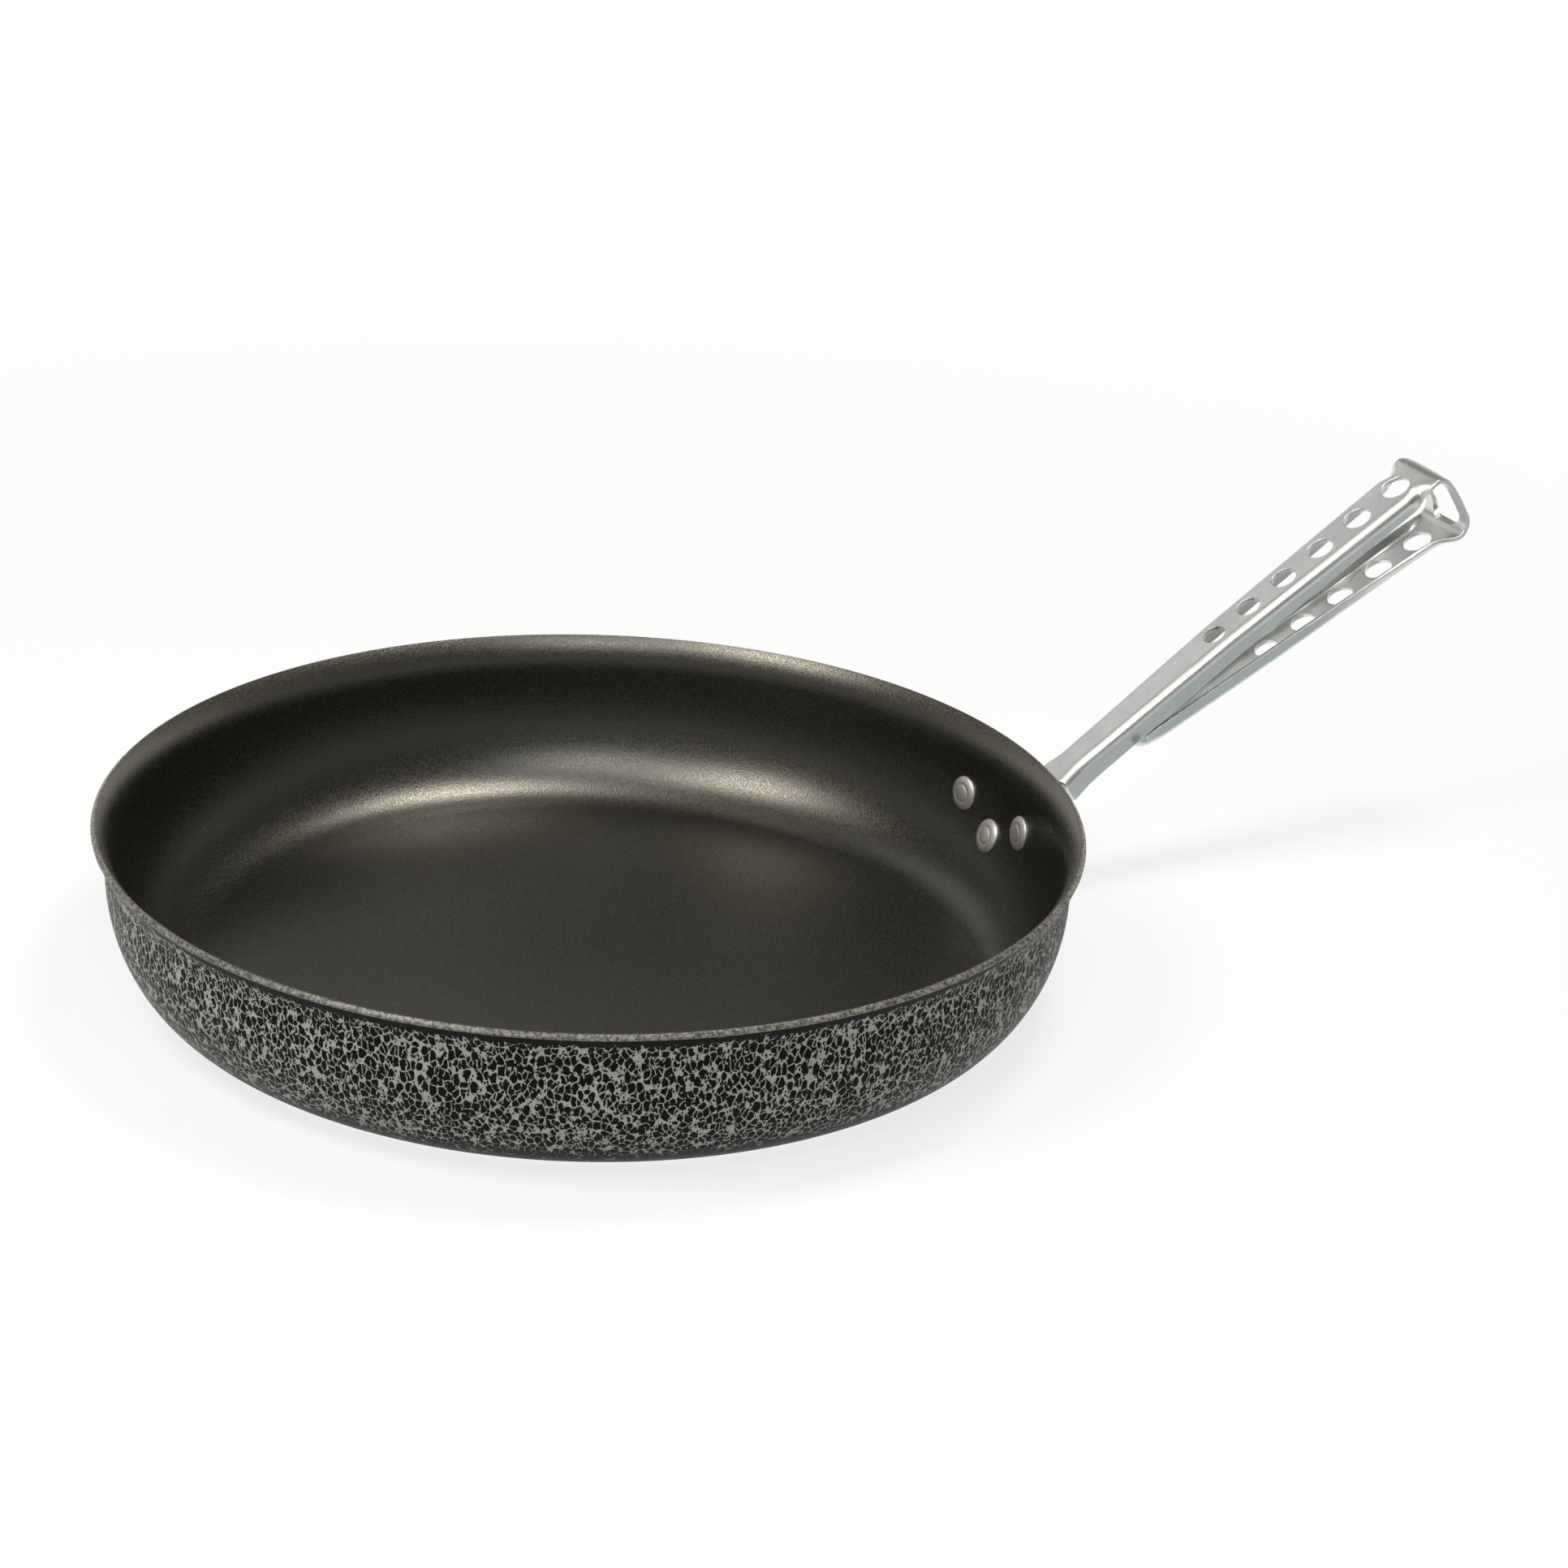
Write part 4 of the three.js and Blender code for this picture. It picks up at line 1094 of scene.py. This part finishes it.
# Effects that several finishes share

def grain_group():
    """Fine grains of one size: a speck mask, a height and a slow drift over the surface."""
    name = "Fine grain"
    if name in bpy.data.node_groups:
        return bpy.data.node_groups[name]
    tree, n, given, result = new_tree(
        name, "ShaderNodeTree",
        [("Vector", VECTOR, None), ("Grain", NUMBER, 0.0015), ("Drift", NUMBER, 0.06)],
        [("Specks", NUMBER), ("Height", NUMBER), ("Drift", NUMBER)])
    coarse = n.noise(given["Vector"], n.math("DIVIDE", 1.0, given["Grain"]), 1.0)
    fine = n.noise(given["Vector"], n.math("DIVIDE", 2.7, given["Grain"]), 1.0)
    slow = n.noise(given["Vector"], n.math("DIVIDE", 1.0, given["Drift"]), 3.0)
    both = n.blend((coarse, 0.6), (fine, 0.4))
    tree.links.new(n.ranged(both, 0.36, 0.66), result["Specks"])
    tree.links.new(both, result["Height"])
    tree.links.new(slow, result["Drift"])
    return tree


def streak_group():
    """Drawn or turned metal: thin streaks along X of the given vector, and slow stains."""
    name = "Drawn streaks"
    if name in bpy.data.node_groups:
        return bpy.data.node_groups[name]
    tree, n, given, result = new_tree(
        name, "ShaderNodeTree",
        [("Vector", VECTOR, None), ("Width", NUMBER, 0.0006), ("Length", NUMBER, 0.05)],
        [("Streaks", NUMBER), ("Stains", NUMBER)])
    at = n.apart(given["Vector"])
    long = n.math("DIVIDE", at[0], given["Length"])
    wide = n.math("DIVIDE", at[1], given["Width"])
    deep = n.math("DIVIDE", at[2], given["Width"])
    streaks = n.noise(n.together(long, wide, deep), 1.0, 3.0, 0.6)
    stains = n.noise(given["Vector"], STAIN_SCALE, 3.0)
    tree.links.new(n.ranged(streaks, 0.3, 0.7), result["Streaks"])
    tree.links.new(n.ranged(stains, 0.35, 0.68), result["Stains"])
    return tree


def blank(made):
    """Clears the node tree of a new material or world, to be filled."""
    made.use_nodes = True
    made.node_tree.nodes.clear()
    return made, Nodes(made.node_tree)


def object_place(n):
    return n.add("ShaderNodeTexCoord").outputs["Object"]


def new_finish(name, **constants):
    """A material with its own shader; constants go on the shader's sockets."""
    material, n = blank(bpy.data.materials.new(name))
    shader = n.add("ShaderNodeBsdfPrincipled")
    for key, value in constants.items():
        shader.inputs[key.replace("_", " ")].default_value = value
    n.end(shader)
    return material, n, shader, object_place(n)


def feed(n, shader, **sockets):
    for key, socket in sockets.items():
        n.tree.links.new(socket, shader.inputs[key.replace("_", " ")])


def bump(n, height, distance, strength=1.0):
    node = n.add("ShaderNodeBump", {"Height": height, "Distance": distance, "Strength": strength})
    return node.outputs[0]


def effect(n, group, at, sizes):
    """A shared effect, at a place and at its own two sizes."""
    return n.add("ShaderNodeGroup", dict(enumerate((at, *sizes))), node_tree=group).outputs


def paint(value, level=1.0):
    """A colour as a socket takes it, darkened to a level."""
    return (*(c * level for c in value), 1.0)


def lining_finish(look, bowl):
    """Dark olive satin with fine specks and an orange-peel surface, paler over the lip as a painted
    highlight.
    """
    material, n, shader, at = new_finish(
        "nonstick_lining", IOR=1.7, Specular_IOR_Level=look.lining_sheen,
        Specular_Tint=paint(look.lining_tint))
    grain = effect(n, grain_group(), at, LINING_GRAIN)
    tint = n.blend((grain["Specks"], 0.7), (grain["Drift"], 0.3))
    film = n.mix(tint, paint(look.lining_dark), paint(look.lining_pale))
    # A paler colour below the edge and over the lip is a painted highlight
    top = bowl.corner_rise + bowl.wall_rise + bowl.lip_radius * sin(bowl.lip_turn)
    lip_highlight = n.ranged(n.apart(at)[2], top - LIP_HIGHLIGHT_DROP, top, 0.0, 0.85)
    lip_highlight = n.math("MULTIPLY", lip_highlight, n.math("MULTIPLY_ADD", grain["Specks"], 0.5, 0.6))
    feed(n, shader,
         Base_Color=n.mix(lip_highlight, film, paint(look.lining_lip_highlight)),
         Roughness=n.math("MULTIPLY_ADD", grain["Specks"], 0.18, look.lining_rough - 0.09),
         Normal=bump(n, grain["Height"], 0.13 * MM, 0.9))
    return material


def coat_finish(look, bowl):
    """Grey veins round black cells of two sizes, with painted shade under the lip and towards the base."""
    material, n, shader, at = new_finish("mottled_coat", Specular_IOR_Level=0.05)
    tall = n.vector("MULTIPLY", at, COAT_STRETCH)
    wander = n.add(
        "ShaderNodeTexNoise", {"Vector": at, "Scale": COAT_WANDER_SCALE, "Detail": 2.0}).outputs["Color"]
    warped = n.vector("ADD", tall, n.scaled(n.vector("SUBTRACT", wander, (0.5, 0.5, 0.5)), COAT_WANDER))
    patch = n.ranged(n.noise(at, COAT_PATCH_SCALE, 2.0), 0.34, 0.74)
    height = n.apart(at)[2]
    rim = bowl.corner_rise + bowl.wall_rise
    # Painted shade under the lip and towards the base: more black cells and darker veins
    under_lip = n.ranged(height, *(rim + over for over in COAT_LIP_SHADE))
    by_base = n.ranged(height, *COAT_BASE_SHADE, 1.0, 0.0)
    bare_metal_and_coat_shade = n.math("MAXIMUM", under_lip, n.math("MULTIPLY", by_base, 0.8))
    cells = []
    for share_of_cell, wide, narrow, vein in COAT_CELLS:
        grid = {"Vector": warped, "Scale": 1 / (look.coat_cell * share_of_cell)}
        middle = n.add("ShaderNodeTexVoronoi", grid, feature="F1")
        edge = n.add("ShaderNodeTexVoronoi", grid, feature="DISTANCE_TO_EDGE")
        radius = n.math("MULTIPLY_ADD", patch, narrow - wide, wide)
        round_cell = n.math("SUBTRACT", radius, middle.outputs["Distance"])
        inside = n.math("MINIMUM", round_cell, n.math("SUBTRACT", edge.outputs["Distance"], vein))
        cells.append(n.ranged(n.math("MULTIPLY_ADD", bare_metal_and_coat_shade, 0.2, inside), -0.02, 0.05))
    black = n.math("MAXIMUM", *cells)
    tone = n.math("MULTIPLY_ADD", n.noise(at, COAT_TONE_SCALE, 3.0), 0.55, 0.66)
    lit = n.math("MULTIPLY", n.math("SUBTRACT", 1.0, black), tone)
    # The painted shade also darkens the grey veins
    lit = n.math("MULTIPLY", lit, n.math("SUBTRACT", 1.0, n.math("MULTIPLY", bare_metal_and_coat_shade, 0.85)))
    feed(n, shader,
         Base_Color=n.mix(lit, paint(look.coat_dark), paint(look.coat_pale)),
         Roughness=n.ranged(black, 0.0, 1.0, 0.52, 0.40),
         Normal=bump(n, n.math("SUBTRACT", 1.0, black), 0.10 * MM, 0.6))
    return material


def sheet_finish(look, bowl):
    """Bare aluminium turned in fine rings under the base, and a dull, speckled cut edge at the lip."""
    material, n, shader, at = new_finish("bare_aluminium")
    place = n.apart(at)
    radius = n.length(n.together(place[0], place[1], 0.0))
    angle = n.math("ARCTAN2", place[1], place[0])
    turned = n.together(n.math("MULTIPLY", angle, RING_RUN), radius, place[2])
    streaks = effect(n, streak_group(), turned, SHEET_RINGS)
    grain = effect(n, grain_group(), at, SHEET_GRAIN)
    rim = n.ranged(place[2], bowl.corner_rise, bowl.corner_rise + bowl.wall_rise)
    edge = n.mix(grain["Specks"], paint(look.edge_dark), paint(look.edge_pale))
    bare_metal_and_coat_shade = n.mix(grain["Drift"], paint(look.sheet_bare), paint(look.sheet_bare, 0.86))
    groove = n.math("MULTIPLY", streaks["Streaks"], n.math("SUBTRACT", 1.0, rim))
    relief = n.math("MULTIPLY_ADD", grain["Height"], rim, groove)
    feed(n, shader,
         Base_Color=n.mix(rim, bare_metal_and_coat_shade, edge),
         Metallic=n.ranged(rim, 0.0, 1.0, 1.0, 0.0),
         Roughness=n.math("MULTIPLY_ADD", streaks["Streaks"], 0.14, 0.34),
         Normal=bump(n, relief, 0.05 * MM, 0.5))
    return material


def plate_finish(look, strap, weld):
    """Soft bright plate with faint lengthwise drawing marks, stains and a heat tint at the spot welds."""
    material, n, shader, at = new_finish("plated_steel", Metallic=1.0)
    sloped = n.add("ShaderNodeMapping", {"Vector": at, "Rotation": (0.0, strap.grip_rise, 0.0)})
    marks = effect(n, streak_group(), sloped.outputs[0], PLATE_MARKS)
    grain = effect(n, grain_group(), at, PLATE_GRAIN)
    cloud = n.blend((marks["Stains"], 0.65), (grain["Specks"], 0.35))
    rough = n.blend((marks["Streaks"], 0.07), (marks["Stains"], 0.06))
    relief = n.blend((marks["Streaks"], 0.5), (grain["Drift"], 2.0))
    plate = n.mix(cloud, paint(look.plate), paint(look.plate, 0.86))
    place = n.apart(at)
    off = n.together(n.math("SUBTRACT", place[0], weld.x), 0.0, n.math("SUBTRACT", place[2], weld.y))
    tint = n.ranged(n.length(off), *HEAT_FADE, 0.75, 0.0)
    feed(n, shader,
         Base_Color=n.mix(tint, plate, paint(look.heat_tint)),
         Roughness=n.math("ADD", rough, 0.29),
         Normal=bump(n, relief, 0.03 * MM, 0.12))
    return material


def rivet_finish(look):
    """Matte aluminium, slightly pitted and scuffed."""
    material, n, shader, at = new_finish("rivet_aluminium", Metallic=1.0)
    grain = effect(n, grain_group(), at, RIVET_GRAIN)
    marks = effect(n, streak_group(), at, RIVET_MARKS)
    stain = n.blend((grain["Drift"], 0.6), (grain["Specks"], 0.4))
    feed(n, shader,
         Base_Color=n.mix(stain, paint(look.rivet, 0.74), paint(look.rivet)),
         Roughness=n.math("MULTIPLY_ADD", marks["Streaks"], 0.16, 0.42),
         Normal=bump(n, grain["Height"], 0.08 * MM, 0.5))
    return material


# Operators: one for each piece or group of like pieces, and one for the stage

def turn_piece(bowl, name, section, closed, finish, slot, node):
    """Turns a section of the bowl into a piece that takes a CAD node's place."""
    source = section_object(f"{name}_section", section)
    values = {"Sides": bowl.sides, "Closed": closed, "Finish": finish}
    piece = grown(source, turning_tree(), values, name, TURNED_SHARP)
    take_place(piece, slot, node)


class TurnBody(bpy.types.Operator):
    """Turn the pressed sheet: base, corner, wall and lip"""
    bl_idname = "pan.turn_body"
    bl_label = "Turn body"

    def execute(self, context):
        bowl, look = context.scene.pan_bowl, context.scene.pan_finish
        finish = sheet_finish(look, bowl)
        turn_piece(bowl, "body_sheet", body_section(bowl), False, finish, "bare_aluminium", "pan_body")
        return {"FINISHED"}


class TurnLining(bpy.types.Operator):
    """Turn the non-stick lining over the inside"""
    bl_idname = "pan.turn_lining"
    bl_label = "Turn lining"

    def execute(self, context):
        bowl, look = context.scene.pan_bowl, context.scene.pan_finish
        finish = lining_finish(look, bowl)
        turn_piece(bowl, "lining_film", lining_section(bowl), False, finish, "nonstick", "nonstick_lining")
        return {"FINISHED"}


class TurnCoat(bpy.types.Operator):
    """Turn the mottled coat over the outside of the wall"""
    bl_idname = "pan.turn_coat"
    bl_label = "Turn coat"

    def execute(self, context):
        bowl, look = context.scene.pan_bowl, context.scene.pan_finish
        finish = coat_finish(look, bowl)
        turn_piece(bowl, "coat_film", coat_section(bowl), True, finish, "mottled_coat", "outer_coat")
        return {"FINISHED"}


class FoldStrap(bpy.types.Operator):
    """Fold the strap handle, join its palm and cut its holes"""
    bl_idname = "pan.fold_strap"
    bl_label = "Fold strap"

    def execute(self, context):
        scene = context.scene
        strap, bowl, rivets = scene.pan_strap, scene.pan_bowl, scene.pan_rivets
        line = StrapLine(strap, bowl)
        palm = from_bmesh("palm", palm_mesh(strap, rivets, bowl))
        hang = from_bmesh("hang_hole", hang_hole_mesh(line))
        drill = section_object("drill_section", drill_section(strap))
        middle = strap.strip / 2
        last_edge = line.reach - strap.hole_end_land
        top = line.top_point(last_edge, middle)
        low_axis = heading(line.return_rise + pi / 2)
        last_radius = (strap.first_hole + strap.hole_growth * (strap.holes - 1)) / 2
        low_centre = line.return_point(last_edge - last_radius - strap.low_row_shift)
        low = low_centre + heading(line.return_rise) * last_radius + low_axis * middle
        values = {
            "Palm": palm, "Hang Hole": hang, "Drill Section": drill, "Sides": strap.sides,
            "Top End": upright(top), "Top Towards Pan": upright(-heading(strap.grip_rise)),
            "Top Axis": upright(heading(strap.grip_rise + pi / 2)), "Top Count": strap.holes,
            "Low End": upright(low), "Low Towards Pan": upright(-heading(line.return_rise)),
            "Low Axis": upright(low_axis), "Low Count": strap.low_holes,
            "Last Diameter": 2 * last_radius, "Growth": strap.hole_growth, "Land": strap.hole_land,
            "Finish": plate_finish(scene.pan_finish, strap, line.weld_point()),
        }
        strip = from_bmesh("strip", strap_mesh(line))
        piece = grown(strip, strap_tree(), values, "strap", STRAP_SHARP)
        for scratch in (palm, hang, drill):
            drop(scratch)
        smoother = piece.modifiers.new("Even shading", "WEIGHTED_NORMAL")
        smoother.keep_sharp = True
        take_place(piece, "plated_steel", "handle_strap")
        return {"FINISHED"}


class SetRivets(bpy.types.Operator):
    """Set the three rivets through wall and palm"""
    bl_idname = "pan.set_rivets"
    bl_label = "Set rivets"

    def execute(self, context):
        scene = context.scene
        rivets, bowl, strap = scene.pan_rivets, scene.pan_bowl, scene.pan_strap
        mesh = bpy.data.meshes.new("rivet_places")
        places = rivet_places(rivets, bowl)
        mesh.from_pydata([at for at, _ in places], [], [])
        outward = mesh.attributes.new("outward", "FLOAT_VECTOR", "POINT")
        for item, (_, way) in zip(outward.data, places):
            item.vector = way
        source = new_object("rivet_places", mesh)
        section = section_object("rivet_section", rivet_section(rivets, bowl, strap))
        values = {"Section": section, "Sides": rivets.sides, "Finish": rivet_finish(scene.pan_finish)}
        piece = grown(source, rivet_tree(), values, "rivets", RIVET_SHARP)
        drop(section)
        take_place(piece, "rivet_aluminium", *RIVET_NODES)
        return {"FINISHED"}


def add_light(name, place, target, width, depth, watts, tint):
    light = bpy.data.lights.new(name, "AREA")
    light.shape = "RECTANGLE"
    light.size, light.size_y = width, depth
    light.energy = watts
    light.color = tint
    lamp = new_object(name, light)
    lamp.location = place
    lamp.rotation_euler = (Vector(target) - Vector(place)).to_track_quat("-Z", "Y").to_euler()


def ray_kinds(n):
    """Masks for camera rays, and for the glossy and transmission rays that metal and gloss send out."""
    path = n.add("ShaderNodeLightPath").outputs
    return path["Is Camera Ray"], n.math("MAXIMUM", path["Is Glossy Ray"], path["Is Transmission Ray"])


def floor_finish(stage):
    """Pale paper that keeps a soft shadow, and that is clear from below."""
    material, n = blank(bpy.data.materials.new("floor_paper"))
    at = object_place(n)
    tone = n.mix(n.noise(at, PAPER_SCALE), paint(stage.floor_colour, 0.985), paint(stage.floor_colour))
    matte = n.add("ShaderNodeBsdfDiffuse", {"Color": tone})
    white = n.add("ShaderNodeEmission", {"Color": paint((1.0, 1.0, 1.0)), "Strength": 1.0})
    seen = n.math("MAXIMUM", *ray_kinds(n))
    part = n.math("MULTIPLY", seen, n.ranged(n.length(at), 0.3, 1.0, stage.white_share, 1.0))
    paper = n.add("ShaderNodeMixShader", {0: part, 1: matte.outputs[0], 2: white.outputs[0]})
    back = n.add("ShaderNodeNewGeometry").outputs["Backfacing"]
    clear = n.add("ShaderNodeBsdfTransparent")
    n.end(n.add("ShaderNodeMixShader", {0: back, 1: paper.outputs[0], 2: clear.outputs[0]}))
    return material


def flag_finish(stage):
    """A grey-blue card beside the handle that only reflections see, as a studio flag."""
    material, n = blank(bpy.data.materials.new("flag_card"))
    n.end(n.add("ShaderNodeEmission", {"Color": paint(stage.flag_colour), "Strength": 1.0}))
    return material


def stage_card(name, half_side, finish):
    """A flat square of the stage, facing up."""
    card = bmesh.new()
    bmesh.ops.create_grid(card, x_segments=1, y_segments=1, size=half_side)
    made = from_bmesh(name, card)
    made.data.materials.append(finish)
    return made


def studio_world(stage, forward):
    """White for the camera, a backdrop and a diffuser in reflections, and a little light from all round."""
    world, n = blank(bpy.data.worlds.new("studio"))
    way = n.apart(n.add("ShaderNodeTexCoord").outputs["Generated"])
    ahead = n.blend((way[0], forward.x), (way[1], forward.y))
    backdrop = n.ranged(ahead, *BACKDROP_AHEAD, *BACKDROP_LEVEL)
    sweep = n.ranged(way[2], *BACKDROP_END, 1.0 - stage.ceiling, 0.0)
    overhead = n.ranged(way[2], *DIFFUSER_START, stage.ceiling, stage.overhead)
    studio = n.math("MULTIPLY_ADD", sweep, backdrop, overhead)
    camera_ray, reflected = ray_kinds(n)
    level = n.math("MULTIPLY_ADD", n.math("SUBTRACT", studio, stage.ambient), reflected, stage.ambient)
    level = n.math("MAXIMUM", level, camera_ray)
    glow = n.add("ShaderNodeBackground", {"Color": paint(STUDIO_TINT), "Strength": level})
    n.end(glow, "ShaderNodeOutputWorld")
    return world


class SetStage(bpy.types.Operator):
    """Set the camera, the studio light and the floor"""
    bl_idname = "pan.set_stage"
    bl_label = "Set stage"

    def execute(self, context):
        scene = context.scene
        stage = scene.pan_stage
        scene.view_settings.view_transform = "Standard"

        camera = bpy.data.cameras.new("photo_camera")
        camera.sensor_width = 36.0
        camera.lens = stage.lens
        camera.clip_end = 50.0
        forward = Vector(stage.camera_forward).normalized()
        right = forward.cross(Vector(stage.camera_up)).normalized()
        up = right.cross(forward)
        turned = Matrix((right, up, -forward)).transposed()
        eye = new_object("photo_camera", camera)
        eye.matrix_world = Matrix.Translation(stage.camera_place) @ turned.to_4x4()
        scene.camera = eye
        scene.world = studio_world(stage, forward)

        floor = stage_card("floor", FLOOR_HALF_SIDE, floor_finish(stage))
        floor.location.z = CAD_BOX[0].z - FLOOR_DROP

        flag = stage_card("flag", 0.5, flag_finish(stage))
        flag.scale = FLAG_SIZE
        flag.location = (*FLAG_PLACE, CAD_BOX[0].z + FLAG_RISE)
        flag.visible_camera = False
        flag.visible_diffuse = False
        flag.visible_shadow = False

        for softbox in SOFTBOXES:
            add_light(*softbox)
        return {"FINISHED"}


STEPS = (TurnBody, TurnLining, TurnCoat, FoldStrap, SetRivets, SetStage)


class PanPanel(bpy.types.Panel):
    """Lists the steps that make the pan, and its settings"""
    bl_idname = "VIEW3D_PT_pan"
    bl_label = "Frying pan"
    bl_space_type = "VIEW_3D"
    bl_region_type = "UI"
    bl_category = "Pan"

    def draw(self, context):
        for step in STEPS:
            self.layout.operator(step.bl_idname)
        for name in SETTINGS:
            group = getattr(context.scene, name)
            box = self.layout.box()
            box.label(text=type(group).__doc__)
            for key in group.__annotations__:
                box.prop(group, key)


CLASSES = (*SETTINGS.values(), *STEPS, PanPanel)


def register():
    for kind in CLASSES:
        bpy.utils.register_class(kind)
    for name, kind in SETTINGS.items():
        setattr(bpy.types.Scene, name, PointerProperty(type=kind))


def unregister():
    for name in SETTINGS:
        delattr(bpy.types.Scene, name)
    for kind in reversed(CLASSES):
        bpy.utils.unregister_class(kind)


def main():
    register()
    bpy.ops.pan.set_stage()
    bpy.ops.pan.turn_body()
    bpy.ops.pan.turn_lining()
    bpy.ops.pan.turn_coat()
    bpy.ops.pan.fold_strap()
    bpy.ops.pan.set_rivets()


if __name__ == "__main__":
    main()
